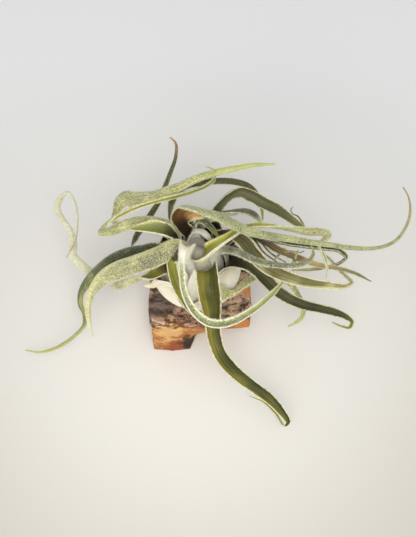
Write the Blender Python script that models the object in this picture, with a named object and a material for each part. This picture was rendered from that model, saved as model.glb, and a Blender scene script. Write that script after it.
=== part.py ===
"""Air plant on a chunk of bark: a bulb of nested leaf sheaths whose long channelled leaves curl away."""

import math

import bpy
import numpy as np
from mathutils import Vector, noise

MM = 0.001

# Leaf routes are written as they show in one picture of the plant, taken from in front and above.
# A place in the picture is counted in steps right of and below its top left corner.
PICTURE_STEP = 0.4
PICTURE_MIDDLE = (208.0, 268.5)
PICTURE_TILT = math.radians(58.0)
PICTURE_DISTANCE = 450.0
LOOK_AT = np.array((4.4, -9.7, 50.0))
LOOK_ALONG = np.array((0.0, math.cos(PICTURE_TILT), -math.sin(PICTURE_TILT)))
LOOK_RIGHT = np.array((1.0, 0.0, 0.0))
LOOK_UP = np.array((0.0, math.sin(PICTURE_TILT), math.cos(PICTURE_TILT)))
EYE = LOOK_AT - LOOK_ALONG * PICTURE_DISTANCE

# The bulb is a nest of rounded shells about the upright axis, counted inwards from level 0.
SHELL_PITCH = 1.18
SHELL_MIDDLE = 37.5
OUTER_SHELL_RADIUS = 19.0
OUTER_SHELL_DROP = 17.0
OUTER_SHELL_RISE = 21.0
RISE_PITCH = 0.4
STEM_RADIUS = 5.2
STEM_GAP = 0.45

# A sheath's rings lie at these angles in degrees down from the top of its shell. It narrows from
# SHOULDER_ANGLE up to its neck, whose angle goes by the shell's level.
SHEATH_THICK = 0.65
SHEATH_RINGS = (160.0, 138.0, 116.0, 94.0, 80.0, 66.0, 52.0)
SHOULDER_ANGLE = 105.0
NECK_ANGLES = (80.0, 80.0, 73.0, 66.0, 66.0, 59.0, 52.0, 52.0, 45.0)
# These leaves have a shoulder angle and a neck angle of their own.
SHOULDERS_AND_NECKS = {
    "leaf_dry": (99.0, 78.0),
    "leaf_right_dark": (82.0, 57.0),
}
LEAST_RING_STEP_BELOW = 9.0
LEAST_RING_STEP_ABOVE = 5.0

# A leaf's cross-section is an arc, drawn with this many points on each of its two sides. The arc
# reaches CUP_ANGLE degrees to either side of the leaf's middle, and more towards the tip.
SECTION_POINTS = 5
BLADE_THICK = 0.85
MARGIN_THICK = 0.62
CUP_ANGLE = 66.0
TIP_CUP_ANGLE = 80.0
LEAST_ARC_RADIUS = 0.56
LEAST_CHORD = 0.8

# Beyond the neck, the sheath's section turns into the blade's over SETTLING_LENGTH. The route is
# drawn with PATH_STEPS short steps from spot to spot, and a ring stands on it after each
# RING_SPACING of length or RING_TURN degrees of bend.
SETTLING_LENGTH = 12.0
PATH_STEPS = 16
RING_SPACING = 7.0
RING_TURN = 30.0

# Colours: red, green and blue, each from 0 to 1.
SILVER = (0.42, 0.45, 0.33)
OLIVE = (0.27, 0.3, 0.11)
DARK_OLIVE = (0.14, 0.16, 0.09)
TAN = (0.5, 0.4, 0.24)
PALE_GREEN = (0.5, 0.55, 0.26)
HEART_CREAM = (0.62, 0.58, 0.42)
BARK_BROWN = (0.33, 0.18, 0.08)
LEAF_COLOURS = {
    "leaf_back_dark": DARK_OLIVE, "leaf_back_right": OLIVE, "leaf_back_thin": DARK_OLIVE,
    "leaf_dry": TAN, "leaf_front": OLIVE, "leaf_left_under": DARK_OLIVE,
    "leaf_right_dark": DARK_OLIVE, "leaf_right_olive": OLIVE, "leaf_right_tan": TAN,
    "leaf_young_inner": PALE_GREEN, "leaf_young_outer": PALE_GREEN,
}
LEAF_ROUGHNESS = 0.85
BARK_ROUGHNESS = 0.8

# The block of bark.
BLOCK_SIDES = 36
HOLE_RADIUS = 3.2
HOLE_FLOOR = 6.0
STUB_RADIUS = 2.9

# Leaves by name: level, direction of the sheath in degrees, half of the angle it wraps,
# width at the neck in mm, and the route beyond the neck. Each spot on a route is
# (right, down, height in mm, width in steps, roll in degrees). A roll of 0 turns the
# hollow side of the leaf to the viewer and 180 turns the rounded back to the viewer.
LEAVES = {
    "leaf_front": (2, 279, 43, 13.0, (
        (208, 272, 54, 22, 0), (209, 290, 53, 22, 0), (211, 305, 47, 19, 0),
        (212.5, 320, 40.5, 15, 0), (214, 335, 35, 14, 0), (219, 352, 30, 13, 0),
        (229, 366, 25, 13, 0), (243, 379, 21, 12, 0), (258, 390, 18, 11, 0),
        (271, 400, 16.5, 10, 0), (281, 411, 14, 8, 0), (288, 421, 11, 5, 0),
        (285, 425, 8, 3, None), (275, 412, 6, 3, None), (262, 401, 5, 2.5, None),
        (249, 396, 5, 2, None),
    )),
    "leaf_front_loop": (6, 243, 34, 7.0, (
        (184.7, 259, 56.4, 9, 170), (186, 247.5, 61.8, 13.5, None), (182.5, 251, 64.2, 8, None),
        (181, 260, 64, 6, -20), (181, 272, 62.8, 6, -30), (182.8, 290, 59, 6.5, -35),
        (187.5, 303, 56, 7.3, -35), (195.5, 315, 53.5, 8.3, -35), (207, 323.5, 51.8, 8.8, -35),
        (220, 325.7, 50.8, 8.8, -35), (234, 322.3, 50.2, 8.3, -35),
        (247, 315.3, 49.5, 7.3, -32), (259, 306.5, 48.5, 6.3, -25), (270.5, 296, 47, 5.2, -15),
        (283.5, 281.5, 45, 4, 0),
    )),
    "leaf_front_short": (4, 240, 43, 7.0, (
        (171.3, 260, 53.6, 10.5, 0), (175, 280, 48, 10, 0), (183, 298, 43, 8, 0),
        (191, 310, 39, 6, 0), (200, 318, 36, 3, 0),
    )),
    "leaf_left_broad": (8, 204, 34, 5.5, (
        (177.5, 247.3, 58.2, 14, 150), (166, 251.5, 60, 18, 190), (149, 257.5, 58.5, 19.5, 200),
        (130, 264, 55, 19, 200), (112, 271, 50, 19, 200), (99, 280, 44, 15, 200),
        (91, 292, 37, 9, 200), (87.5, 304, 31, 6, 200), (87.5, 315, 27, 5, 200),
        (89.5, 325, 24, 3.5, 200), (93, 337, 21, 2, 200),
    )),
    "leaf_left_under": (5, 189, 43, 8.0, (
        (158, 250, 50, 13, 150), (145, 252, 50, 16, 190), (128, 255, 47, 17, 190),
        (110, 263, 42, 17, 190), (96, 274, 37, 14, 190), (86, 284, 33, 10, 190),
        (80.5, 294, 29, 6, 190), (80, 304, 26, 5, 190), (84.5, 315.5, 21, 4, 190),
        (84, 325, 18, 3.5, 190), (76.4, 334, 15, 3, 190), (61.5, 345, 12, 3, 190),
        (50, 350, 10, 2.5, 190), (40, 352, 9, 2, 190), (25, 350, 9, 2, 190),
    )),
    "leaf_left_curl": (2, 189, 43, 10.0, (
        (149, 266, 43, 11, 60), (128, 270, 36, 11, 120), (108, 272, 31, 10, 150),
        (90, 272, 29, 9, 180), (80, 264, 30, 9, 180), (72.5, 255, 32, 8, 180),
        (73, 243, 33, 8, 180), (70, 230, 35, 5, 180), (62, 219, 37, 6, 180),
        (57.5, 209, 39, 6, 180), (60, 199, 40, 5, 180), (67, 192.5, 42, 3, 180),
        (73.5, 199, 43, 3.5, 120), (77.5, 213, 44, 4, 90), (77.5, 228, 43, 3.5, 90),
        (75.5, 241, 42, 3, 90), (71, 250, 42, 2.5, 90), (66, 258, 42, 2, 90),
    )),
    "leaf_left_low": (3, 205, 43, 9.0, (
        (156.5, 273.5, 48, 13, 30), (151, 278, 46.2, 14.5, 72), (139, 281, 43, 12.5, 100),
        (127, 285.5, 39, 10.5, 125), (118, 288, 35.5, 10, 135), (111.5, 288.8, 33, 8.5, None),
    )),
    "leaf_dry": (0, 219, 31, 15.0, (
        (152.5, 286, 42, 6.5, 150), (147.5, 286, 42, 4, 150), (144, 285.5, 42, 2.5, 150),
    )),
    "leaf_back_thin": (1, 171, 43, 8.0, (
        (142, 252, 43, 7, 60), (132, 247, 41, 6, 90), (135, 237, 41, 6, 150),
        (143, 226, 41, 6, 180), (151, 214, 42, 6, 180), (158, 203, 43, 5, 180),
        (166, 184, 44, 4.5, 180), (171, 171, 45, 4, 180), (176, 155, 47, 3, 180),
        (175, 142, 49, 2.5, 180), (169.6, 137, 50, 2, 180),
    )),
    "leaf_left_trough": (6, 174, 34, 6.9, (
        (172, 236.2, 56.9, 11, 40), (163, 232, 61.8, 15.5, 40), (152, 230, 62.5, 15, 40),
        (142, 229.5, 62, 10, 40), (135, 229.5, 61.7, 6, 40), (130, 228.8, 61, 3, 40),
    )),
    "leaf_left_strip": (7, 148, 34, 5.2, (
        (177.5, 231.2, 53.2, 5.2, 120), (170, 225.7, 54, 7.5, 170), (159, 222.3, 56, 10, 185),
        (147, 221, 57.5, 11, 190), (132, 222.5, 58.2, 11, 190), (117, 228, 58, 10, 190),
        (106, 232, 57.5, 7.5, 190), (100, 232, 57, 6, 180), (104, 225, 57, 6, 120),
        (115, 216.5, 59, 6, 60), (135, 206.5, 62, 6, 60), (154, 200.5, 64, 6, 60),
        (173, 195.5, 63, 6, 60), (193, 190, 60, 5.5, 60), (206, 184.5, 57, 5, 60),
        (214, 177, 54, 4, 60), (213, 170, 53, 3, 60), (205, 166, 52, 2, 60),
    )),
    "leaf_back_broad": (4, 135, 43, 10.0, (
        (158, 232, 50, 9, 60), (145, 228, 49.5, 8, 90), (131, 226.5, 48, 6.5, 110),
        (119, 226, 47, 6, 120), (113, 219.5, 46.5, 5.5, 150), (116, 211.5, 47.3, 6.5, 180),
        (119, 204.5, 49, 12, 180), (123, 199.5, 51, 16, 170), (131, 198.5, 53, 17, 160),
        (142, 197.5, 56, 15, 160), (155, 195, 59, 12, 160), (168, 190, 62, 11, 160),
        (181, 185, 64, 9, 160), (192, 179.5, 65, 8, 160), (211, 173, 66, 7, 160),
        (236.5, 167.5, 66, 5, 160), (253, 164.7, 65, 4, 160), (275, 164, 64, 2.5, 160),
    )),
    "leaf_back_dark": (0, 117, 43, 14.0, (
        (169, 216, 51, 9, 90), (170, 203, 53, 9, 130), (175, 192, 54, 8, 150),
        (185, 185, 54, 8, 150), (200, 181.5, 53, 8, 150), (219, 180, 52, 7, 150),
        (236, 181, 50, 7, 150), (250, 186, 48, 6, 150), (257.5, 194, 45, 5, 150),
        (262, 207, 41, 4, 150), (263, 220, 38, 2.5, 150),
    )),
    "leaf_back_right": (1, 66, 41, 13.0, (
        (216, 212, 53, 10, 0), (222, 201, 57, 10, 40), (231, 193, 60, 11, 50),
        (241, 190.5, 61, 12, 30), (251, 195, 60, 12, 10), (262, 202, 58, 12, 0),
        (275, 209, 55, 11, -10), (290, 219, 50, 8, -10), (303, 228, 45, 5, -10),
        (312, 234, 42, 3, -10),
    )),
    "leaf_back_loop": (5, 99, 43, 8.0, (
        (207, 220, 54, 8, 0), (217, 214, 58, 9, 50), (229, 211, 60, 11, 70),
        (246, 209, 59, 12, 100), (257, 214, 55, 9, 110), (263, 225, 51, 4, 110),
    )),
    "leaf_right_long": (8, 106, 34, 6.6, (
        (181.5, 223.5, 57.5, 13, 5), (180.5, 214.5, 63.5, 19.5, 15), (187.5, 208, 68.5, 22, 42),
        (201, 209, 71.5, 19, 75), (214, 211.8, 71.7, 13.5, 112), (225, 217.5, 71.3, 10.5, 145),
        (236, 224.3, 70.8, 9.5, 160), (246, 229.5, 69.5, 8.5, 165), (262, 234, 67, 7.5, 168),
        (284, 237.5, 65, 6.5, 170), (305, 241, 63, 5.5, 170), (330, 244.5, 61, 4.5, 170),
        (356, 248, 59, 4, 170), (381, 247, 57, 3, 170), (395, 241, 56, 3, 170),
        (404, 230, 56, 2.5, 170), (409, 218, 57, 2.5, 170), (410, 206, 58, 2, 170),
        (407.6, 195, 59, 2, 170), (403, 187, 60, 2, 170),
    )),
    "leaf_crown_right": (8, 279, 34, 7.5, (
        (206, 256, 57, 20, -60), (216, 248.5, 60, 17, -60), (229, 239.5, 62, 12, -60),
        (243, 230.5, 61, 9, -60), (256, 227, 58, 8, -60), (270, 227.5, 57, 8, -70),
        (290, 230.5, 56, 8, -110), (308, 232.5, 55, 8, -160), (321, 232.5, 54, 7.5, -180),
        (328, 235, 53, 6.5, -180), (324, 239, 52, 5.5, -150), (318, 243, 51, 4.5, -110),
        (319, 249, 51, 4, -90), (322, 254, 50, 4, -60), (325, 262, 49, 4, -60),
        (326.6, 270, 48, 3, -60), (326, 278.7, 47, 2, -60),
    )),
    "leaf_right_upper": (5, 9, 34, 8.0, (
        (240, 237, 52, 8, -60), (254, 236, 52, 8, -60), (265, 239, 51, 9, -60),
        (276, 242, 50, 9, -60), (290, 245, 48, 8, -60), (308, 247.5, 47, 7, -60),
        (325, 249.5, 46, 6, -60), (339, 252, 44, 6, -60), (345, 257, 42, 5, -60),
        (340, 262, 39.5, 4, -60), (328, 266, 37.5, 4, -60), (310, 269, 36, 3.5, -60),
        (292, 270, 35, 2.5, -60),
    )),
    "leaf_right_tan": (3, 27, 43, 10.0, (
        (240, 235, 48, 8, 0), (253, 235.5, 48, 8, 0), (264, 241, 47, 8, 0),
        (278, 249.5, 45, 8, 0), (291, 255, 44, 8, 0), (305, 260.5, 43, 7, 0),
        (321.5, 265.5, 42, 5, 0), (338.7, 268.4, 42, 4, 0), (356, 273.6, 41, 3, 0),
        (371.4, 281.6, 40, 2, 0),
    )),
    "leaf_right_front": (7, 333, 34, 6.0, (
        (220, 250, 53, 8, 150), (231, 249.5, 56.5, 7, 150), (243, 253.5, 60.5, 6.5, 150),
        (255, 259, 62, 6.5, 150), (270, 263, 61.5, 6, 150), (285, 265, 60, 5.5, 150),
        (299, 264, 58, 5, 150), (309, 260, 57, 4, 150), (313, 253, 56, 3, 150),
        (311, 246, 55, 2, 150),
    )),
    "leaf_right_olive": (6, 27, 34, 7.0, (
        (232, 235, 56, 10, -20), (243, 241.5, 56.5, 13, -10), (252.5, 253, 53.5, 14, 0),
        (264, 265, 50.5, 13, 0), (280, 274, 49, 12, 0), (295, 279.5, 48, 11, 0),
        (311, 283, 47.5, 9, 0), (330, 285.5, 46.5, 7, 0), (344, 286.5, 45.5, 5, 0),
        (351, 283.5, 43, 3.5, 0), (346.5, 277, 39, 3, 0), (340, 270.7, 35, 3, 0),
        (331, 260.4, 31, 2.5, 0), (324, 253.5, 28.5, 2, 0), (320, 247, 27, 2, 0),
    )),
    "leaf_right_dark": (1, 336, 46, 15.0, (
        (240, 266, 51.5, 16, -60), (248, 269.5, 49, 15, -45), (257, 275, 44.5, 14, -25),
        (266, 281, 40, 13, -10), (276, 290, 35.5, 12, 0), (290, 299, 32, 11, 0),
        (305, 305, 29.5, 10, 0), (320, 308.5, 27.5, 9, 0), (334, 312, 25.5, 8, 0),
        (345, 316, 23.5, 6, 0), (352, 322, 20.5, 4, 0), (350, 327, 18.5, 3, 0),
        (341, 326, 17.5, 2.5, 0), (332, 322, 17.5, 2, 0),
    )),
    "leaf_right_low": (0, 293, 42, 11.0, (
        (233, 292.5, 43.2, 6, 150), (246, 281.5, 42, 8, 150), (259, 274, 38.5, 7, 150),
        (271, 273.5, 34, 6, 150), (283, 278, 30, 6, 150), (293, 286, 27, 6, 150),
        (300, 297, 23.5, 5, 150), (304, 309, 19.5, 5, 150), (302, 318, 17, 4, 150),
        (296, 323, 15, 3.5, 150), (288, 326.7, 13, 2, 150),
    )),
    "leaf_young_outer": (9.5, 97, 43, 4.0, (
        (194.5, 225.5, 58.6, 5.5, 90), (198, 219.5, 61.3, 6.5, 100), (205, 220.5, 61, 7, 130),
        (212, 227, 58.5, 6, 150), (218, 236, 55, 4, 150),
    )),
    "leaf_young_inner": (9.5, 189, 43, 4.0, (
        (192, 234, 57.5, 5.5, 60), (196.5, 229.5, 60.5, 6.5, 100), (203.5, 231, 60, 7, 130),
        (209, 236.5, 57.5, 5.5, 150), (212, 241, 54.5, 3, 150),
    )),
}

# The outline of the block of bark, as (right, back) corners in mm, at three heights.
BLOCK_TOP = (
    (22.5, 1.0), (22.6, 9.0), (18.0, 15.0), (9.0, 18.6), (-2.0, 19.2), (-11.0, 17.8), (-18.5, 14.6),
    (-20.6, 6.0), (-20.9, -4.0), (-20.8, -10.5), (-20.0, -16.4), (-15.0, -18.2), (-7.0, -19.0),
    (2.4, -18.6), (7.0, -16.2), (13.0, -15.2), (22.0, -15.0), (23.0, -8.5),
)
BLOCK_WAIST = (
    (21.4, 1.0), (21.6, 8.0), (17.5, 14.0), (8.0, 17.4), (-2.0, 18.0), (-10.0, 16.8), (-17.5, 13.4),
    (-19.4, 6.0), (-19.6, -4.0), (-20.2, -10.5), (-19.6, -17.6), (-14.0, -18.8), (-5.0, -19.0),
    (0.8, -17.2), (7.0, -15.4), (13.0, -15.0), (22.2, -14.8), (22.4, -9.0),
)
BLOCK_FOOT = (
    (15.0, 2.0), (16.0, 8.0), (13.5, 12.5), (6.0, 15.5), (-2.0, 16.2), (-9.0, 15.0), (-15.0, 12.0),
    (-17.0, 6.0), (-17.4, -4.0), (-18.8, -10.5), (-19.2, -20.1), (-11.2, -21.1), (-3.4, -20.0),
    (-0.6, -12.5), (4.5, -8.0), (9.5, -6.5), (13.0, -5.0), (14.5, -2.0),
)


def clear_scene():
    for thing in list(bpy.data.objects):
        bpy.data.objects.remove(thing)


def unit(vector):
    return vector / np.linalg.norm(vector)


def wrapped(angle):
    """The same angle between -180 and 180 degrees."""
    return (angle + 180.0) % 360.0 - 180.0


def seen_at(right, down, height):
    """The point at this height that shows at this place in the picture."""
    sight = (
        LOOK_ALONG * PICTURE_DISTANCE
        + LOOK_RIGHT * (right - PICTURE_MIDDLE[0]) * PICTURE_STEP
        + LOOK_UP * (PICTURE_MIDDLE[1] - down) * PICTURE_STEP
    )
    return EYE + sight * (height - EYE[2]) / sight[2]


def shell_place(level, angle):
    """Radius, height and upward slope of a shell, at an angle in degrees down from its top."""
    radius = OUTER_SHELL_RADIUS - SHELL_PITCH * level
    drop = OUTER_SHELL_DROP - SHELL_PITCH * level
    rise = OUTER_SHELL_RISE - RISE_PITCH * level
    turn = math.radians(angle)
    tall = rise if angle < 90.0 else drop
    slope = unit(np.array((-radius * math.cos(turn), tall * math.sin(turn))))
    return radius * math.sin(turn), SHELL_MIDDLE + tall * math.cos(turn), slope


def shell_frame(level, angle, heading):
    """Point, growing direction, inward normal and level inward direction on a shell."""
    radius, height, slope = shell_place(level, angle)
    outward = np.array((math.cos(heading), math.sin(heading), 0.0))
    point = outward * radius + np.array((0.0, 0.0, height))
    along = outward * slope[0] + np.array((0.0, 0.0, slope[1]))
    inward = np.array((0.0, 0.0, slope[0])) - outward * slope[1]
    return point, along, inward, -outward


def section(point, facing, level_facing, side, radius, half_angle, thick, margin_thick):
    """The closed ring of points of a channelled cross-section."""
    tilt = float(np.dot(facing, level_facing))
    rest = facing - level_facing * tilt
    outer = []
    inner = []
    for share in np.linspace(-1.0, 1.0, SECTION_POINTS):
        turn = half_angle * share
        across = level_facing * math.cos(turn) - side * math.sin(turn)
        middle = point + level_facing * radius - across * radius
        normal = unit(across * tilt + rest)
        half = 0.5 * (thick + (margin_thick - thick) * share * share)
        outer.append(middle - normal * half)
        inner.append(middle + normal * half)
    return outer + inner[::-1]


def shoulder_and_neck(name, level):
    usual = SHOULDER_ANGLE, NECK_ANGLES[min(int(level), len(NECK_ANGLES) - 1)]
    return SHOULDERS_AND_NECKS.get(name, usual)


def sheath_rings(level, heading, half_wrap, neck_width, shoulder, neck):
    """Rings of the wrapping part of a leaf, from the stem up to its neck."""
    heading = math.radians(heading)
    side = np.array((-math.sin(heading), math.cos(heading), 0.0))
    radius_at_equator = OUTER_SHELL_RADIUS - SHELL_PITCH * level
    start = 180.0 - math.degrees(
        math.asin((STEM_RADIUS + STEM_GAP + SHEATH_THICK) / radius_at_equator)
    )
    lowest = start - LEAST_RING_STEP_BELOW
    highest = neck + LEAST_RING_STEP_ABOVE
    angles = [start] + [a for a in SHEATH_RINGS if highest < a < lowest] + [neck]
    neck_radius = shell_place(level, neck)[0]
    neck_wrap = math.asin(min(0.95, 0.5 * neck_width / neck_radius))
    rings = []
    for angle in angles:
        point, along, inward, level_inward = shell_frame(level, angle, heading)
        narrowing = np.clip((shoulder - angle) / (shoulder - neck), 0.0, 1.0)
        wrap = math.radians(half_wrap) * (1.0 - narrowing) + neck_wrap * narrowing
        radius = shell_place(level, angle)[0]
        rings.append(section(
            point, inward, level_inward, side, radius, wrap, SHEATH_THICK, SHEATH_THICK
        ))
    return rings


def smooth_path(spots, first_slope):
    """Smoothly changing values through the spots, PATH_STEPS to each stretch between two."""
    spots = np.array(spots)
    gaps = np.maximum(np.linalg.norm(np.diff(spots[:, :3], axis=0), axis=1), 1e-6)
    rates = np.diff(spots, axis=0) / gaps[:, None]
    slopes = np.empty_like(spots)
    slopes[1:-1] = (rates[:-1] * gaps[1:, None] + rates[1:] * gaps[:-1, None]) / (
        gaps[1:, None] + gaps[:-1, None]
    )
    slopes[0] = rates[0]
    slopes[0, :3] = first_slope
    slopes[-1] = rates[-1]
    values = []
    for i, gap in enumerate(gaps):
        for step in range(PATH_STEPS):
            t = step / PATH_STEPS
            values.append(
                spots[i] * (1 + 2 * t) * (1 - t) ** 2
                + slopes[i] * gap * t * (1 - t) ** 2
                + spots[i + 1] * t * t * (3 - 2 * t)
                + slopes[i + 1] * gap * t * t * (t - 1)
            )
    values.append(spots[-1])
    return np.array(values)


def carried_frames(points, first_facing):
    """Growing direction and untwisted facing at each point of a path."""
    along = np.gradient(points, axis=0)
    along /= np.linalg.norm(along, axis=1)[:, None]
    facing = np.empty_like(points)
    last = first_facing
    for i, direction in enumerate(along):
        last = unit(last - direction * np.dot(last, direction))
        facing[i] = last
    return along, facing


def wanted_twist(point, along, facing, roll):
    """How far the carried facing has to turn about the leaf to have this roll in the picture."""
    to_eye = unit(EYE - point)
    reference = unit(to_eye - along * np.dot(to_eye, along))
    turn = math.radians(roll)
    wanted = reference * math.cos(turn) + np.cross(along, reference) * math.sin(turn)
    return math.degrees(
        math.atan2(np.dot(np.cross(facing, wanted), along), np.dot(facing, wanted))
    )


def twists_along(spots, points, along, facing):
    """The twist at each point of a path, from the rolls that its spots ask for."""
    places = [0]
    twists = [0.0]
    for i, spot in enumerate(spots):
        if spot[4] is None:
            continue
        at = (i + 1) * PATH_STEPS
        twist = wanted_twist(points[at], along[at], facing[at], spot[4])
        places.append(at)
        twists.append(twists[-1] + wrapped(twist - twists[-1]))
    return np.interp(np.arange(len(points)), places, twists)


def ring_places(points, along):
    """Where along a path the rings go: closer together where it bends."""
    steps = np.linalg.norm(np.diff(points, axis=0), axis=1)
    cosines = np.clip(np.sum(along[1:] * along[:-1], axis=1), -1.0, 1.0)
    turns = np.degrees(np.arccos(cosines))
    measure = np.concatenate(([0.0], np.cumsum(steps / RING_SPACING + turns / RING_TURN)))
    count = max(4, round(measure[-1]))
    wanted = np.linspace(0.0, measure[-1], count + 1)[1:]
    return [int(np.argmin(np.abs(measure - place))) for place in wanted]


def blade_rings(level, heading, neck_width, spots, neck):
    """Rings of the free part of a leaf, beyond its neck."""
    heading = math.radians(heading)
    point, along, inward, level_inward = shell_frame(level, neck, heading)
    neck_radius = shell_place(level, neck)[0]
    neck_wrap = math.asin(min(0.95, 0.5 * neck_width / neck_radius))
    marks = [(*point, neck_width)]
    for right, down, height, width, _ in spots:
        marks.append((*seen_at(right, down, height), width * PICTURE_STEP))
    path = smooth_path(marks, along)
    points = path[:, :3]
    chords = np.maximum(path[:, 3], LEAST_CHORD)
    directions, facings = carried_frames(points, inward)
    twists = twists_along(spots, points, directions, facings)
    lengths = np.concatenate(
        ([0.0], np.cumsum(np.linalg.norm(np.diff(points, axis=0), axis=1)))
    )
    lean = math.atan2(np.dot(level_inward, along), np.dot(level_inward, inward))
    rings = []
    for at in ring_places(points, directions):
        turn = math.radians(twists[at])
        facing = facings[at] * math.cos(turn) + np.cross(directions[at], facings[at]) * math.sin(turn)
        side = np.cross(directions[at], facing)
        settled = min(1.0, lengths[at] / SETTLING_LENGTH)
        tilt = lean * (1.0 - settled)
        level_facing = facing * math.cos(tilt) + directions[at] * math.sin(tilt)
        share = lengths[at] / lengths[-1]
        cup = math.radians(CUP_ANGLE + (TIP_CUP_ANGLE - CUP_ANGLE) * share)
        cup = neck_wrap + (cup - neck_wrap) * settled
        radius = max(LEAST_ARC_RADIUS, 0.5 * chords[at] / math.sin(cup))
        cup = math.asin(min(math.sin(cup), 0.5 * chords[at] / radius))
        thick = SHEATH_THICK + (BLADE_THICK - SHEATH_THICK) * settled * (1.0 - share)
        rings.append(section(
            points[at], facing, level_facing, -side, radius, cup, thick, MARGIN_THICK
        ))
    return rings


def skin(rings):
    """Points and faces of the closed surface through these rings."""
    count = len(rings[0])
    half = count // 2
    points = [tuple(point * MM) for ring in rings for point in ring]
    faces = []
    for ring in range(len(rings) - 1):
        for j in range(count):
            k = (j + 1) % count
            a = ring * count
            faces.append((a + j, a + k, a + count + k, a + count + j))
    last = (len(rings) - 1) * count
    for j in range(half - 1):
        faces.append((j, count - 1 - j, count - 2 - j, j + 1))
        faces.append((last + j, last + j + 1, last + count - 2 - j, last + count - 1 - j))
    return points, faces


def plain_material(name, colour, roughness):
    material = bpy.data.materials.new(name)
    material.use_nodes = True
    shader = material.node_tree.nodes["Principled BSDF"]
    shader.inputs["Base Color"].default_value = (*colour, 1.0)
    shader.inputs["Roughness"].default_value = roughness
    return material


def add_solid(name, points, faces, colour, roughness):
    mesh = bpy.data.meshes.new(name)
    mesh.from_pydata(points, [], faces)
    mesh.validate()
    mesh.shade_smooth()
    mesh.set_sharp_from_angle(angle=math.radians(50.0))
    mesh.materials.append(plain_material(name, colour, roughness))
    solid = bpy.data.objects.new(name, mesh)
    bpy.context.scene.collection.objects.link(solid)
    return solid


def add_leaf(name, level, heading, half_wrap, neck_width, spots):
    shoulder, neck = shoulder_and_neck(name, level)
    rings = sheath_rings(level, heading, half_wrap, neck_width, shoulder, neck)
    rings += blade_rings(level, heading, neck_width, spots, neck)
    points, faces = skin(rings)
    return add_solid(name, points, faces, LEAF_COLOURS.get(name, SILVER), LEAF_ROUGHNESS)


def turned(profile, sides, wobble):
    """Points and faces of a closed shape turned about the upright axis from (radius, height) pairs."""
    points = [(0.0, 0.0, profile[0][1] * MM)]
    for radius, height in profile:
        for side in range(sides):
            turn = 2.0 * math.pi * side / sides
            points.append(wobble(radius, height, turn))
    points.append((0.0, 0.0, profile[-1][1] * MM))
    faces = []
    for ring in range(len(profile) - 1):
        for side in range(sides):
            a = 1 + ring * sides + side
            b = 1 + ring * sides + (side + 1) % sides
            faces.append((a, b, b + sides, a + sides))
    last = 1 + (len(profile) - 1) * sides
    for side in range(sides):
        after = (side + 1) % sides
        faces.append((0, 1 + after, 1 + side))
        faces.append((last + sides, last + side, last + after))
    return points, faces


def add_stem():
    """The short stem with the closed heart of the plant on top and the stub that the block holds."""
    profile = (
        (STUB_RADIUS, HOLE_FLOOR + 0.4), (STUB_RADIUS, 18.2), (4.4, 20.6), (STEM_RADIUS, 23.0),
        (STEM_RADIUS, 29.5), (4.8, 32.5), (5.6, 35.5), (6.3, 38.5), (5.8, 42.0), (4.2, 45.0), (1.6, 47.5),
    )

    def round_place(radius, height, turn):
        return radius * math.cos(turn) * MM, radius * math.sin(turn) * MM, height * MM

    points, faces = turned(profile, 16, round_place)
    return add_solid("stem", points, faces, HEART_CREAM, LEAF_ROUGHNESS)


def outline_radius(corners, turn):
    """How far out the outline of these corners lies in one direction."""
    ray = np.array((math.cos(turn), math.sin(turn)))
    for i, corner in enumerate(corners):
        start = np.array(corner)
        edge = np.array(corners[(i + 1) % len(corners)]) - start
        across = ray[0] * edge[1] - ray[1] * edge[0]
        if abs(across) < 1e-9:
            continue
        reach = (start[0] * edge[1] - start[1] * edge[0]) / across
        share = (start[0] * ray[1] - start[1] * ray[0]) / across
        if reach > 0.0 and -1e-9 <= share <= 1.0 + 1e-9:
            return reach
    raise ValueError("the outline doesn't go round the axis")


def rough(x, y, z, size):
    """A fixed random number between -1 and 1 that varies smoothly from place to place."""
    return noise.noise(Vector((x / size + 7.3, y / size - 2.1, z / size + 4.7)))


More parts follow.
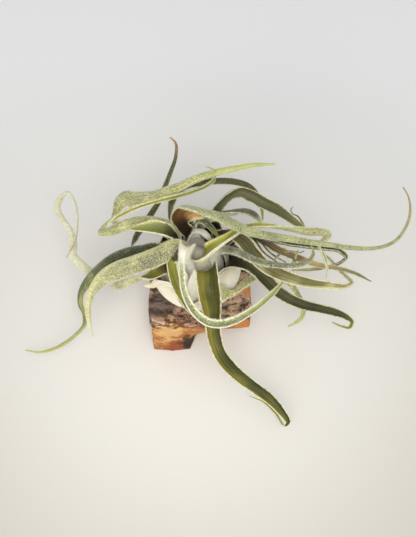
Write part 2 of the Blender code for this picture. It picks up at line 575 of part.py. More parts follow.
def add_block():
    """The chunk of bark, with a plain round hole for the stem's stub."""
    # Each ring is (share of the outline's radius, height, outline), from the foot up and into the hole.
    rings = (
        (0.94, 0.0, BLOCK_FOOT), (1.0, 1.0, BLOCK_FOOT), (1.0, 5.5, None), (1.0, 10.5, BLOCK_WAIST),
        (1.0, 15.0, None), (1.0, 18.6, BLOCK_TOP), (0.95, 20.0, BLOCK_TOP), (0.8, 19.7, BLOCK_TOP),
        (0.6, 19.2, BLOCK_TOP), (0.4, 18.6, BLOCK_TOP),
    )
    sides = BLOCK_SIDES
    points = []
    for share, height, corners in rings:
        for side in range(sides):
            turn = 2.0 * math.pi * (side + 0.5) / sides
            if corners is None:
                below, above = (
                    (BLOCK_FOOT, BLOCK_WAIST) if height < 10.0 else (BLOCK_WAIST, BLOCK_TOP)
                )
                reach = 0.45 * outline_radius(below, turn) + 0.55 * outline_radius(above, turn)
            else:
                reach = outline_radius(corners, turn)
            radius = reach * share
            x = radius * math.cos(turn)
            y = radius * math.sin(turn)
            wear = 0.0 if height < 0.5 else rough(x, y, height, 4.5)
            out = 1.0 + 0.035 * wear
            lift = 0.0 if height < 0.5 or share < 0.7 else 0.5 * rough(x, y, height + 30.0, 5.0)
            points.append((x * out * MM, y * out * MM, (height + lift) * MM))
    hole = ((HOLE_RADIUS, 18.2), (HOLE_RADIUS, HOLE_FLOOR))
    for radius, height in hole:
        for side in range(sides):
            turn = 2.0 * math.pi * (side + 0.5) / sides
            points.append((radius * math.cos(turn) * MM, radius * math.sin(turn) * MM, height * MM))
    count = len(rings) + len(hole)
    faces = []
    for ring in range(count - 1):
        for side in range(sides):
            a = ring * sides + side
            b = ring * sides + (side + 1) % sides
            faces.append((a, b, b + sides, a + sides))
    points.append((0.0, 0.0, 0.0))
    points.append((0.0, 0.0, HOLE_FLOOR * MM))
    last = (count - 1) * sides
    for side in range(sides):
        after = (side + 1) % sides
        faces.append((count * sides, after, side))
        faces.append((count * sides + 1, last + side, last + after))
    return add_solid("bark_block", points, faces, BARK_BROWN, BARK_ROUGHNESS)


def build():
    clear_scene()
    add_block()
    add_stem()
    for name, (level, heading, half_wrap, neck_width, spots) in LEAVES.items():
        add_leaf(name, level, heading, half_wrap, neck_width, spots)


build()
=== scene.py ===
import math

import bpy
import numpy as np
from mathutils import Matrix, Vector, noise


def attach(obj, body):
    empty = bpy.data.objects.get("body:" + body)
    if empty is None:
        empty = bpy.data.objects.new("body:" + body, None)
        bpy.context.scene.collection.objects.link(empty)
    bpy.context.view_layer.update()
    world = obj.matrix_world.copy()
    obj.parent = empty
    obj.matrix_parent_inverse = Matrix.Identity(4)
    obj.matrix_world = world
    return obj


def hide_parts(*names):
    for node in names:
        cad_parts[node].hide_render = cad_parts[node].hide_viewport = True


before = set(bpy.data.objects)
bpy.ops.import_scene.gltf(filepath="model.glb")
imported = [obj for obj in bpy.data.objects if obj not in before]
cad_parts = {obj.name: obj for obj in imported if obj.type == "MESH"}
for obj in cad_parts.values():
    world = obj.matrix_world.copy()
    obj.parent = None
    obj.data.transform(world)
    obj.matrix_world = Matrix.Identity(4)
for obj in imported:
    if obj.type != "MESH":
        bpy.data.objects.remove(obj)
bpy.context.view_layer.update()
print("frame loaded", len(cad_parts), "nodes")

mm = 0.001
scene = bpy.context.scene
scene.view_settings.view_transform = "Standard"

# The view, in mm. The camera looks down at this tilt from in front of the plant.
view = {
    "lookAt": np.array((4.4, -9.7, 50.0)),
    "tilt": math.radians(58.0),
    "distance": 450.0,
    "mmPerPixel": 0.4,
    "pixelMiddle": (208.0, 268.5),
    "pixelHeight": 537,
}
lookAlong = np.array((0.0, math.cos(view["tilt"]), -math.sin(view["tilt"])))
lookRight = np.array((1.0, 0.0, 0.0))
lookUp = np.array((0.0, math.sin(view["tilt"]), math.cos(view["tilt"])))
eye = view["lookAt"] - lookAlong * view["distance"]


# small helpers

def unit(vector):
    return vector / np.linalg.norm(vector)


def unitRows(rows):
    return rows / np.maximum(np.linalg.norm(rows, axis=-1, keepdims=True), 1e-12)


def wrapped(angle):
    return (angle + 180.0) % 360.0 - 180.0


def easeIn(value, low, high):
    share = np.clip((value - low) / (high - low), 0.0, 1.0)
    return share * share * (3.0 - 2.0 * share)


def lengthsAlong(points):
    return np.concatenate(([0.0], np.cumsum(np.linalg.norm(np.diff(points, axis=0), axis=1))))


def ripple(places, size, seed):
    # smooth random numbers between -1 and 1 along a line, for waved edges
    return np.array([noise.noise(Vector((place / size, seed * 3.17, 0.41))) for place in places])


def newPiece(name, data):
    piece = bpy.data.objects.new(name, data)
    scene.collection.objects.link(piece)
    return piece


def newMesh(name, points, faces, *materials):
    # a smooth mesh from points in mm
    mesh = bpy.data.meshes.new(name)
    mesh.from_pydata((np.asarray(points) * mm).tolist(), [], faces)
    mesh.shade_smooth()
    for material in materials:
        mesh.materials.append(material)
    return newPiece(name, mesh)


def ringFaces(rings, sides):
    # four-cornered faces between closed rings of points
    j = np.arange(sides)
    k = (j + 1) % sides
    base = (np.arange(rings - 1) * sides)[:, None]
    faces = np.stack((base + j, base + k, base + sides + k, base + sides + j), axis=-1)
    return faces.reshape(-1, 4).tolist()


def addValues(mesh, name, values):
    mesh.attributes.new(name, "FLOAT", "POINT").data.foreach_set("value", values.astype(np.float32).ravel())


def addBakeMap(mesh, places):
    # places: one (u, v) for each face corner
    mesh.uv_layers.new(name="OFBake").data.foreach_set("uv", places.astype(np.float32).ravel())


# shader nodes

def inLight(colour):
    # a colour in whole numbers is as it shows on screen, 0 to 255, and is turned into linear light
    if isinstance(colour[0], float):
        return colour
    shares = (c / 255 for c in colour)
    return tuple(c / 12.92 if c <= 0.04045 else ((c + 0.055) / 1.055) ** 2.4 for c in shares)


class Wire:
    # an output of a shader node; a sum with it adds a node that works the sum out

    def __init__(self, socket):
        self.socket = socket
        self.tree = socket.id_data

    def __add__(self, other):
        return addMath("ADD", self, other)

    def __sub__(self, other):
        return addMath("SUBTRACT", self, other)

    def __mul__(self, other):
        return addMath("MULTIPLY", self, other)

    def __truediv__(self, other):
        return addMath("DIVIDE", self, other)


def feed(socket, value):
    if isinstance(value, Wire):
        socket.id_data.links.new(value.socket, socket)
    elif socket.type == "RGBA":
        socket.default_value = (*inLight(value), 1.0)
    else:
        socket.default_value = value


def addNode(tree, kind, inputs, **choices):
    # makes the node's choices, feeds its inputs and gives its outputs
    node = tree.nodes.new("ShaderNode" + kind)
    for name, choice in choices.items():
        setattr(node, name, choice)
    for label, value in inputs.items():
        feed(node.inputs[label], value)
    return node.outputs


def addMath(operation, *values):
    tree = next(value.tree for value in values if isinstance(value, Wire))
    return Wire(addNode(tree, "Math", dict(enumerate(values)), operation=operation)[0])


def addStep(value, low, high, lowOut=0.0, highOut=1.0):
    # rises smoothly from lowOut to highOut between low and high
    inputs = {"Value": value, "From Min": low, "From Max": high, "To Min": lowOut, "To Max": highOut}
    return Wire(addNode(value.tree, "MapRange", inputs, interpolation_type="SMOOTHSTEP")["Result"])


def addLayers(colour, *layers):
    # lays colours over the first one, each as strongly as its mask says
    for mask, above in layers:
        colour = Wire(addNode(mask.tree, "Mix", {0: mask, 6: colour, 7: above}, data_type="RGBA")[2])
    return colour


def addNoise(place, scale, detail=2.0, roughness=0.5):
    inputs = {"Vector": place, "Scale": scale, "Detail": detail, "Roughness": roughness}
    return Wire(addNode(place.tree, "TexNoise", inputs)["Fac"])


def addValue(tree, name):
    return Wire(addNode(tree, "Attribute", {}, attribute_name=name)["Fac"])


def addPlace(tree):
    return Wire(addNode(tree, "TexCoord", {})["Object"])


def addParts(place):
    return [Wire(part) for part in addNode(place.tree, "SeparateXYZ", {0: place})]


def addDistance(place, paintedLightMiddleMm):
    inputs = {0: place, 1: tuple(c * mm for c in paintedLightMiddleMm)}
    return Wire(addNode(place.tree, "VectorMath", inputs, operation="DISTANCE")["Value"])


def newMaterial(name):
    material = bpy.data.materials.new(name)
    material.use_nodes = True
    return material, material.node_tree


def dress(material, inputs, height=None, bump=0.0, bumpMm=0.0):
    # feeds the inputs of a material's shader and gives the material
    tree = material.node_tree
    if height:
        relief = {"Strength": bump, "Distance": bumpMm * mm, "Height": height}
        inputs = {**inputs, "Normal": Wire(addNode(tree, "Bump", relief)["Normal"])}
    for label, value in inputs.items():
        feed(tree.nodes["Principled BSDF"].inputs[label], value)
    return material


# shader node groups, all with numbers in and out

def newGroup(name, inputs, outputs):
    group = bpy.data.node_groups.new(name, "ShaderNodeTree")
    for label in inputs:
        group.interface.new_socket(label, in_out="INPUT", socket_type="NodeSocketFloat")
    for label in outputs:
        group.interface.new_socket(label, in_out="OUTPUT", socket_type="NodeSocketFloat")
    start = group.nodes.new("NodeGroupInput").outputs
    end = group.nodes.new("NodeGroupOutput").inputs
    return group, [Wire(start[label]) for label in inputs], end


def placeGroup(tree, group, *values):
    return [Wire(output) for output in addNode(tree, "Group", dict(enumerate(values)), node_tree=group)]


streakSettings = {"detail": 3.0, "roughness": 0.6, "linesBetween": (0.38, 0.64)}
speckleSettings = {
    "grainScale": 0.8,
    "grainRoughness": 0.6,
    "grainShare": 0.82,
    "grainHeight": 0.4,
    "patchScale": 0.12,
    "dotsBetween": (0.7, 0.3),
    "dotShare": 0.75,
    "bareLevel": 0.86,
    "coverDrop": 0.72,
    "softness": 0.1,
}
marginSettings = {
    "wanderScale": 900.0,
    "gapScale": 1100.0,
    "gapRoughness": 0.6,
    "gapsBetween": (0.38, 0.56),
    "gapLevel": 0.15,
}


def buildLeafStreaks():
    # fine lines that run along a leaf: a mask of pale lines and a height for bump
    group, (linesAcross, lineLength), end = newGroup(
        "leafStreaks", ("Lines Across", "Line Length"), ("Lines", "Height")
    )
    across = addValue(group, "acrossLeaf") * linesAcross
    along = addValue(group, "alongLeaf") / lineLength
    place = Wire(addNode(group, "CombineXYZ", {0: across, 1: along, 2: addValue(group, "leafSeed")})[0])
    coarse = addNoise(place, 1.0, streakSettings["detail"], streakSettings["roughness"])
    feed(end["Lines"], addStep(coarse, *streakSettings["linesBetween"]))
    feed(end["Height"], coarse)
    return group


def buildScaleSpeckle():
    # the tiny pale scales of an air plant: a mask of scales and a height for bump
    group, (sizeMm, cover), end = newGroup(
        "scaleSpeckle", ("Scale Size mm", "Cover"), ("Scales", "Height")
    )
    settings = speckleSettings
    inputs = {0: addPlace(group), "Scale": addMath("DIVIDE", 1.0 / mm, sizeMm)}
    place = Wire(addNode(group, "VectorMath", inputs, operation="SCALE")[0])
    cells = addNode(group, "TexVoronoi", {"Vector": place, "Scale": 1.0, "Randomness": 1.0})
    dots = addStep(Wire(cells["Distance"]), *settings["dotsBetween"])
    grain = addNoise(place, settings["grainScale"], 2.0, settings["grainRoughness"])
    patches = addNoise(place, settings["patchScale"])
    loose = grain * settings["grainShare"] + patches * (1.0 - settings["grainShare"])
    level = cover * -settings["coverDrop"] + settings["bareLevel"]
    there = addStep(loose, level - settings["softness"], level + settings["softness"])
    scales = (dots * settings["dotShare"] + (1.0 - settings["dotShare"])) * there
    feed(end["Scales"], scales)
    feed(end["Height"], scales + grain * settings["grainHeight"])
    return group


def buildMarginMask():
    # how close a place is to the leaf's margin, broken up as its hairs are
    group, (startsAt, wander), end = newGroup("marginMask", ("Starts At", "Wander"), ("Margin",))
    settings = marginSettings
    place = addPlace(group)
    side = addMath("ABSOLUTE", addValue(group, "acrossLeaf"))
    moved = side + (addNoise(place, settings["wanderScale"]) - 0.5) * wander
    gaps = addNoise(place, settings["gapScale"], 2.0, settings["gapRoughness"])
    broken = addStep(gaps, *settings["gapsBetween"], settings["gapLevel"])
    feed(end["Margin"], addStep(moved, startsAt, 1.0) * broken)
    return group


leafStreaks = buildLeafStreaks()
scaleSpeckle = buildScaleSpeckle()
marginMask = buildMarginMask()


# Leaf finishes. Each has a fuzzy outside and a smoother inside, both from deep to pale, with the colour of
# the scales and hairs, of the thin line inside the margin, of the sheath and of the throat, which in most
# finishes is a dark painted shade.

silverFinish = {
    "outside": ((60, 66, 36), (132, 136, 74), (204, 202, 126)), "cover": 0.6,
    "inside": ((80, 82, 26), (128, 126, 44), (180, 176, 84)), "insideCover": 0.12, "marginFrom": 0.86,
    "scale": (242, 238, 204), "edge": (182, 184, 70), "rimFrom": 0.8,
    "sheath": (250, 230, 190), "sheathPale": (255, 247, 224), "throatShade": (84, 66, 46),
}
oliveFinish = {
    **silverFinish, "cover": 0.4, "edge": (150, 146, 44), "throatShade": (56, 42, 24),
    "outside": ((76, 78, 38), (118, 116, 60), (176, 170, 98)),
    "inside": ((40, 46, 14), (74, 74, 24), (128, 121, 50)),
}
# partly painted shade: a dimmer copy of the silver finish, scales too, for leaves that lie in shade, over
# their own deeper green
darkShadedFinish = {
    **silverFinish, "cover": 0.34, "scale": (218, 214, 176), "edge": (140, 140, 70), "throatShade": (42, 32, 24),
    "outside": ((48, 52, 32), (76, 80, 52), (126, 128, 86)),
    "inside": ((42, 44, 26), (62, 62, 36), (100, 96, 60)),
}
leafFinishes = {
    "silver": silverFinish,
    "olive": oliveFinish,
    "dark": darkShadedFinish,
    "fluffy": {
        **silverFinish, "cover": 0.9, "insideCover": 0.55, "marginFrom": 0.54,
        "outside": ((160, 158, 112), (208, 204, 166), (240, 235, 214)),
        "inside": ((78, 88, 38), (114, 124, 56), (160, 168, 88)),
        "scale": (248, 244, 222), "edge": (190, 194, 104), "throatShade": (246, 240, 222),
        "sheath": (248, 240, 222), "sheathPale": (255, 252, 244),
    },
    "greyOlive": {
        **darkShadedFinish,
        "outside": ((56, 64, 42), (98, 104, 74), (168, 172, 112)),
        "inside": ((62, 62, 38), (88, 87, 58), (122, 120, 88)),
    },
    "tan": {
        **silverFinish, "cover": 0.4, "edge": (196, 180, 120), "throatShade": (64, 54, 42),
        "outside": ((96, 82, 54), (146, 126, 88), (192, 174, 130)),
        "inside": ((66, 56, 42), (112, 96, 70), (190, 166, 122)),
    },
    "dry": {
        **silverFinish, "cover": 0.3, "edge": (226, 216, 176), "throatShade": (150, 122, 86),
        "outside": ((190, 176, 142), (218, 208, 182), (236, 230, 212)),
        "inside": ((186, 172, 132), (214, 204, 170), (236, 228, 200)),
        "sheath": (246, 226, 188), "sheathPale": (253, 242, 218),
    },
    "young": {
        **silverFinish, "cover": 0.3, "insideCover": 0.5, "throatShade": (252, 249, 240),
        "outside": ((48, 54, 34), (74, 82, 52), (124, 130, 92)),
        "inside": ((206, 196, 172), (244, 236, 216), (255, 250, 236)),
    },
    "hood": {
        **silverFinish, "cover": 0.5, "insideCover": 0.5,
        "outside": ((146, 144, 126), (190, 186, 170), (226, 222, 208)),
        "inside": ((146, 142, 124), (190, 186, 170), (226, 222, 208)),
        "scale": (236, 233, 220), "edge": (196, 194, 160), "throatShade": (172, 164, 146),
    },
    "rimmed": {
        **silverFinish, "cover": 0.48, "rimFrom": 0.66, "scale": (238, 236, 212), "edge": (170, 174, 110),
        "outside": ((52, 60, 38), (92, 100, 64), (160, 164, 112)),
    },
    "ghost": {
        **silverFinish, "cover": 0.8, "scale": (232, 229, 210), "edge": (178, 178, 132),
        "outside": ((138, 140, 112), (180, 180, 150), (218, 215, 192)),
    },
    "amber": {
        **silverFinish, "cover": 0.72, "scale": (216, 214, 178), "throatShade": (44, 32, 22),
        "outside": ((56, 66, 36), (104, 114, 64), (168, 172, 104)),
        "inside": ((80, 52, 28), (134, 94, 52), (196, 152, 98)),
    },
    "trough": {
        **silverFinish, "insideCover": 0.3, "throatShade": (46, 44, 34),
        "inside": ((84, 88, 46), (136, 140, 74), (196, 200, 128)),
    },
    "banded": {
        **oliveFinish, "edge": (206, 170, 120),
        "inside": ((62, 60, 32), (104, 100, 56), (212, 206, 156)),
    },
    "loop": {
        **darkShadedFinish, "scale": (226, 222, 196),
        "inside": ((96, 96, 76), (166, 164, 142), (224, 220, 200)),
    },
}
tips = {
    "green": {"start": 0.75, "strength": 0.6, "colour": (156, 158, 80)},
    "bright": {"start": 0.6, "strength": 0.75, "colour": (162, 172, 92)},
    "brown": {"start": 0.82, "strength": 0.85, "colour": (150, 100, 70)},
    "pale": {"start": 0.8, "strength": 0.7, "colour": (206, 202, 172)},
    "deep": {"start": 0.45, "strength": 0.95, "colour": (84, 92, 52)},
}
shadeSettings = {
    "base": -0.16,
    "margins": 0.22,
    # painted light: how much paler one margin is made, as if lit from that side
    "paintedLightSide": 0.5,
    "ripeFrom": 0.4,
    "lines": 0.26,
    "patches": 0.9,
    "levels": (0.05, 0.42, 0.85),
}
outsideSettings = {
    "streaks": (6.0, 16.0),
    "fineStreaks": (14.0, 30.0),
    "scaleSizeMm": 0.46,
    "patches": (150.0, 3.0, 0.6),
    "thinScales": (0.3, 0.7, 0.7, 1.0),
    "edge": (0.6, 0.2),
    "edgeWeight": 0.55,
    "marginWander": 0.24,
    "marginWeight": 0.85,
    "gapWeight": 0.34,
    "scaleWeight": 0.6,
    "sheathFadeMm": 15.0,
    "sheathLines": 0.5,
    "sheathPale": 0.4,
    "sheathScales": 0.5,
    "streakHeight": 0.8,
    "relief": (0.6, 0.18),
    "shader": {
        "Roughness": 0.86,
        "Specular IOR Level": 0.3,
        "Subsurface Weight": 0.7,
        "Subsurface Radius": (1.0, 0.92, 0.7),
        "Subsurface Scale": 3.0 * mm,
        "Sheen Weight": 0.5,
        "Sheen Roughness": 0.4,
    },
}
insideSettings = {
    "streaks": (3.0, 22.0),
    "streakWeight": 0.8,
    "fineStreaks": (17.0, 26.0),
    "fineWeight": 0.35,
    "scaleSizeMm": 0.5,
    "scaleWeight": 0.5,
    "patches": (90.0, 2.0, 0.5),
    "edge": (0.7, 0.14),
    "edgeWeight": 0.7,
    "marginWander": 0.22,
    "marginWeight": 0.9,
    "smooth": 0.5,
    "rough": 0.85,
    "specular": 0.3,
    "relief": (0.35, 0.2),
}
hairLook = {
    "patchScale": 1200.0,
    "dullBetween": (0.4, 0.56),
    "brighter": 1.06,
    "lift": 0.03,
    "most": 0.95,
    "roughness": 0.7,
}


def addShade(lines, patches, leaf, ends):
    # deep to pale: paler towards the margins, one of them more as painted light, and along the leaf, in
    # streaks and patches
    settings = shadeSettings
    across, reach = addValue(lines.tree, "acrossLeaf"), addValue(lines.tree, "reach")
    shade = across * across * settings["margins"] + across * (settings["paintedLightSide"] * leaf["paintedLightSide"])
    shade += (reach - settings["ripeFrom"]) * leaf["ripe"] + settings["base"]
    shade += lines * settings["lines"] + patches * settings["patches"]
    low, middle, high = settings["levels"]
    return addLayers(ends[0], (addStep(shade, low, middle), ends[1]), (addStep(shade, middle, high), ends[2]))


def tipLayer(tree, tip):
    return addStep(addValue(tree, "reach"), tip["start"], 1.0) * tip["strength"], tip["colour"]


def leafMasks(tree, settings, cover, marginFrom):
    # for both sides of a leaf: streaks, fine lines and scales with their heights, edge, margin and patches
    streaks = placeGroup(tree, leafStreaks, *settings["streaks"])
    fine = placeGroup(tree, leafStreaks, *settings["fineStreaks"])
    scales = placeGroup(tree, scaleSpeckle, settings["scaleSizeMm"], cover)
    [edge] = placeGroup(tree, marginMask, *settings["edge"])
    [margin] = placeGroup(tree, marginMask, marginFrom, settings["marginWander"])
    patches = addNoise(addPlace(tree), *settings["patches"])
    return *streaks, *fine, *scales, edge * settings["edgeWeight"], margin * settings["marginWeight"], patches


def leafOutside(name, leaf):
    # the fuzzy back of a leaf: pale sheath, grey-green blade with scales, pale margins, tinted tip
    settings, finish = outsideSettings, leafFinishes[leaf["finish"]]
    material, tree = newMaterial(name + "Outside")
    lines, lineHeight, sheathLines, _, scales, scaleHeight, edge, margin, patches = leafMasks(
        tree, settings, finish["cover"], finish["rimFrom"]
    )
    blade = addLayers(
        addShade(lines, patches, leaf, finish["outside"]),
        (edge, finish["edge"]),
        (scales * -settings["gapWeight"] + settings["gapWeight"], finish["outside"][0]),
        (scales * addStep(patches, *settings["thinScales"]) * settings["scaleWeight"], finish["scale"]),
        (margin, finish["scale"]),
        tipLayer(tree, tips[leaf["tip"]]),
    )
    sheath = addLayers(
        finish["sheath"],
        (sheathLines * settings["sheathLines"] + settings["sheathPale"], finish["sheathPale"]),
        (scales * settings["sheathScales"], finish["scale"]),
    )
    past = addStep(addValue(tree, "pastNeck"), leaf["paleTo"] - settings["sheathFadeMm"], leaf["paleTo"])
    inputs = {**settings["shader"], "Base Color": addLayers(sheath, (past, blade))}
    return dress(material, inputs, scaleHeight + lineHeight * settings["streakHeight"], *settings["relief"])


def leafInside(name, leaf):
    # the smoother hollow side: olive with fine lines, with dark painted shade in the throat, pale at the
    # margins
    settings, finish = insideSettings, leafFinishes[leaf["finish"]]
    material, tree = newMaterial(name + "Inside")
    streaks, streakHeight, fine, fineHeight, scales, _, edge, margin, patches = leafMasks(
        tree, settings, finish["insideCover"], finish["marginFrom"]
    )
    lines = streaks * settings["streakWeight"] + fine * settings["fineWeight"]
    blade = addLayers(
        addShade(lines, patches, leaf, finish["inside"]),
        (edge, finish["edge"]),
        (scales * settings["scaleWeight"], finish["scale"]),
        tipLayer(tree, tips[leaf["tip"]]),
    )
    # painted shade: the throat's colour, dark in most finishes, fades into the blade past the neck
    past = addStep(addValue(tree, "pastNeck"), leaf["throatShade"] - leaf["throatFade"], leaf["throatShade"])
    colour = addLayers(finish["throatShade"], (past, blade), (margin, finish["scale"]))
    rough = addStep(scales, 0.0, 1.0, settings["smooth"], settings["rough"])
    inputs = {"Base Color": colour, "Roughness": rough, "Specular IOR Level": settings["specular"]}
    return dress(material, inputs, fineHeight + streakHeight, *settings["relief"])


def leafHair(name, leaf):
    # the pale hairs, a little duller in places
    finish = leafFinishes[leaf["finish"]]
    scale, back = inLight(finish["scale"]), inLight(finish["outside"][2])
    dull = tuple(0.5 * (c + o) for c, o in zip(scale, back))
    pale = tuple(min(hairLook["most"], hairLook["brighter"] * c + hairLook["lift"]) for c in scale)
    material, tree = newMaterial(name + "Hair")
    patches = addStep(addNoise(addPlace(tree), hairLook["patchScale"], 3.0), *hairLook["dullBetween"])
    inputs = {"Base Color": addLayers(dull, (patches, pale)), "Roughness": hairLook["roughness"]}
    return dress(material, inputs)


# the bulb's nested shells, in mm and degrees

bulb = {
    "shellPitch": 1.18,
    "middleHeight": 37.5,
    "outerRadius": 19.0,
    "outerDrop": 17.0,
    "outerRise": 21.0,
    "risePitch": 0.4,
    "sheathThick": 0.65,
    "sheathEdgeThick": 0.3,
    "sheathRings": 44,
    "sheathWave": 0.03,
    "waveMm": 5.0,
    "shoulderAngle": 105.0,
    "neckAngles": (80.0, 80.0, 73.0, 66.0, 66.0, 59.0, 52.0, 52.0, 45.0),
    "stemRadius": 5.2,
    "stemGap": 0.45,
}


def shellPlace(level, angles):
    # radius and height of a shell, and its upward slope, at angles counted down from its top
    radius = bulb["outerRadius"] - bulb["shellPitch"] * level
    drop = bulb["outerDrop"] - bulb["shellPitch"] * level
    rise = bulb["outerRise"] - bulb["risePitch"] * level
    turn = np.radians(angles)
    tall = np.where(np.asarray(angles) < 90.0, rise, drop)
    slope = np.stack((-radius * np.cos(turn), tall * np.sin(turn)), axis=-1)
    return radius * np.sin(turn), bulb["middleHeight"] + tall * np.cos(turn), unitRows(slope)


def shellFrames(level, angles, heading):
    # points, growing directions, inward normals and the level inward direction on a shell
    radii, heights, slopes = shellPlace(level, angles)
    outward = np.array((math.cos(heading), math.sin(heading), 0.0))
    upright = np.array((0.0, 0.0, 1.0))
    points = radii[:, None] * outward + heights[:, None] * upright
    along = slopes[:, :1] * outward + slopes[:, 1:] * upright
    inward = slopes[:, :1] * upright - slopes[:, 1:] * outward
    return points, along, inward, np.tile(-outward, (len(points), 1)), radii


def sections(points, facings, levelFacings, sides, radii, halfAngles, shares, halfThick):
    # two grids of points, the rounded back and the hollow front of a channelled leaf
    tilt = np.sum(facings * levelFacings, axis=1)[:, None]
    rest = facings - levelFacings * tilt
    turns = (halfAngles * shares)[..., None]
    across = levelFacings[:, None] * np.cos(turns) - sides[:, None] * np.sin(turns)
    middle = points[:, None] + (levelFacings[:, None] - across) * radii[:, None, None]
    normals = unitRows(across * tilt[:, None] + rest[:, None])
    return middle - normals * halfThick[..., None], middle + normals * halfThick[..., None]


# leaf routes

bladeSettings = {
    "stepsPerStretch": 20,
    "ringSpacingMm": 0.85,
    "ringTurn": 6.0,
    "acrossPoints": 15,
    "roundSpacing": 0.45,
    "bladeThick": 0.82,
    "marginThick": 0.3,
    "thinning": 0.35,
    "tipNarrowing": 0.45,
    "cupAngle": 66.0,
    "tipCupAngle": 80.0,
    "leastRadius": 0.26,
    "leastChord": 0.42,
    "settlingMm": 12.0,
    "edgeWave": 0.05,
    "waveMm": 4.0,
}


def seenAt(right, down, height):
    # the point at this height that shows at this place in the picture
    sight = (
        lookAlong * view["distance"]
        + lookRight * (right - view["pixelMiddle"][0]) * view["mmPerPixel"]
        + lookUp * (view["pixelMiddle"][1] - down) * view["mmPerPixel"]
    )
    return eye + sight * (height - eye[2]) / sight[2]


def fullRoute(route):
    # a spot with no roll of its own keeps the roll of the spot before it
    roll, spots = None, []
    for right, down, height, width, *ownRoll in route:
        roll = ownRoll[0] if ownRoll else roll
        spots.append((right, down, height, width, roll))
    return spots


def smoothPath(spots, firstSlope, steps):
    # a smooth curve through rows of x, y, z and width
    spots = np.array(spots)
    gaps = np.maximum(np.linalg.norm(np.diff(spots[:, :3], axis=0), axis=1), 1e-6)
    rates = np.diff(spots, axis=0) / gaps[:, None]
    near, far = gaps[:-1, None], gaps[1:, None]
    slopes = np.empty_like(spots)
    slopes[1:-1] = (rates[:-1] * far + rates[1:] * near) / (near + far)
    slopes[0] = rates[0]
    slopes[0, :3] = firstSlope
    slopes[-1] = rates[-1]
    t = (np.arange(steps) / steps)[:, None]
    stretches = []
    for i, gap in enumerate(gaps):
        stretches.append(
            spots[i] * (1 + 2 * t) * (1 - t) ** 2
            + slopes[i] * gap * t * (1 - t) ** 2
            + spots[i + 1] * t * t * (3 - 2 * t)
            + slopes[i + 1] * gap * t * t * (t - 1)
        )
    return np.vstack(stretches + [spots[-1:]])


def carriedFrames(points, firstFacing):
    along = unitRows(np.gradient(points, axis=0))
    facings = np.empty_like(points)
    last = firstFacing
    for i, direction in enumerate(along):
        last = unit(last - direction * np.dot(last, direction))
        facings[i] = last
    return along, facings


def wantedTwist(point, along, facing, roll):
    # the turn from a carried facing to one with this roll, as the camera sees it
    toEye = unit(eye - point)
    reference = unit(toEye - along * np.dot(toEye, along))
    turn = math.radians(roll)
    wanted = reference * math.cos(turn) + np.cross(along, reference) * math.sin(turn)
    return math.degrees(math.atan2(np.dot(np.cross(facing, wanted), along), np.dot(facing, wanted)))


def twistsAlong(spots, points, along, facings, steps):
    places, twists = [0], [0.0]
    for i, spot in enumerate(spots):
        if spot[4] is None:
            continue
        at = (i + 1) * steps
        twist = wantedTwist(points[at], along[at], facings[at], spot[4])
        places.append(at)
        twists.append(twists[-1] + wrapped(twist - twists[-1]))
    raw = np.interp(np.arange(len(points)), places, twists)
    reach = steps // 3
    padded = np.concatenate((np.full(reach, raw[0]), raw, np.full(reach, raw[-1])))
    return np.convolve(padded, np.ones(2 * reach + 1) / (2 * reach + 1), "valid")


def ringPlaces(points, along):
    # where rings go: closer together where the leaf bends more
    steps = np.linalg.norm(np.diff(points, axis=0), axis=1)
    turns = np.degrees(np.arccos(np.clip(np.sum(along[1:] * along[:-1], axis=1), -1.0, 1.0)))
    perRing = steps / bladeSettings["ringSpacingMm"] + turns / bladeSettings["ringTurn"]
    measure = np.concatenate(([0.0], np.cumsum(perRing)))
    wanted = np.arange(1.0, measure[-1] + 0.5)
    return np.unique([int(np.argmin(np.abs(measure - place))) for place in wanted] + [len(points) - 1])


def sheathGrids(leaf, seed, shares, thin):
    # the sheath, on its shell of the bulb
    level, heading = leaf["level"], math.radians(leaf["heading"])
    equatorRadius = bulb["outerRadius"] - bulb["shellPitch"] * level
    footRadius = bulb["stemRadius"] + bulb["stemGap"] + bulb["sheathThick"]
    startAngle = 180.0 - math.degrees(math.asin(footRadius / equatorRadius))
    angles = np.linspace(startAngle, leaf["neck"], bulb["sheathRings"])
    points, along, inward, levelInward, radii = shellFrames(level, angles, heading)
    neckWrap = math.asin(min(0.95, 0.5 * leaf["neckWidth"] / radii[-1]))
    narrowing = np.clip((leaf["shoulder"] - angles) / (leaf["shoulder"] - leaf["neck"]), 0.0, 1.0)
    wraps = math.radians(leaf["halfWrap"]) * (1.0 - narrowing) + neckWrap * narrowing
    side = np.tile((-math.sin(heading), math.cos(heading), 0.0), (len(angles), 1))
    lengths = lengthsAlong(points)
    wave = 1.0 + bulb["sheathWave"] * ripple(lengths, bulb["waveMm"], seed)[:, None] * shares
    thick = bulb["sheathThick"] * (1.0 - thin) + bulb["sheathEdgeThick"] * thin
    outer, inner = sections(
        points, inward, levelInward, side, radii, wraps[:, None] * wave, shares,
        np.tile(0.5 * thick, (len(angles), 1))
    )
    end = (points[-1], along[-1], inward[-1], levelInward[-1], neckWrap)
    return outer, inner, along, lengths, end


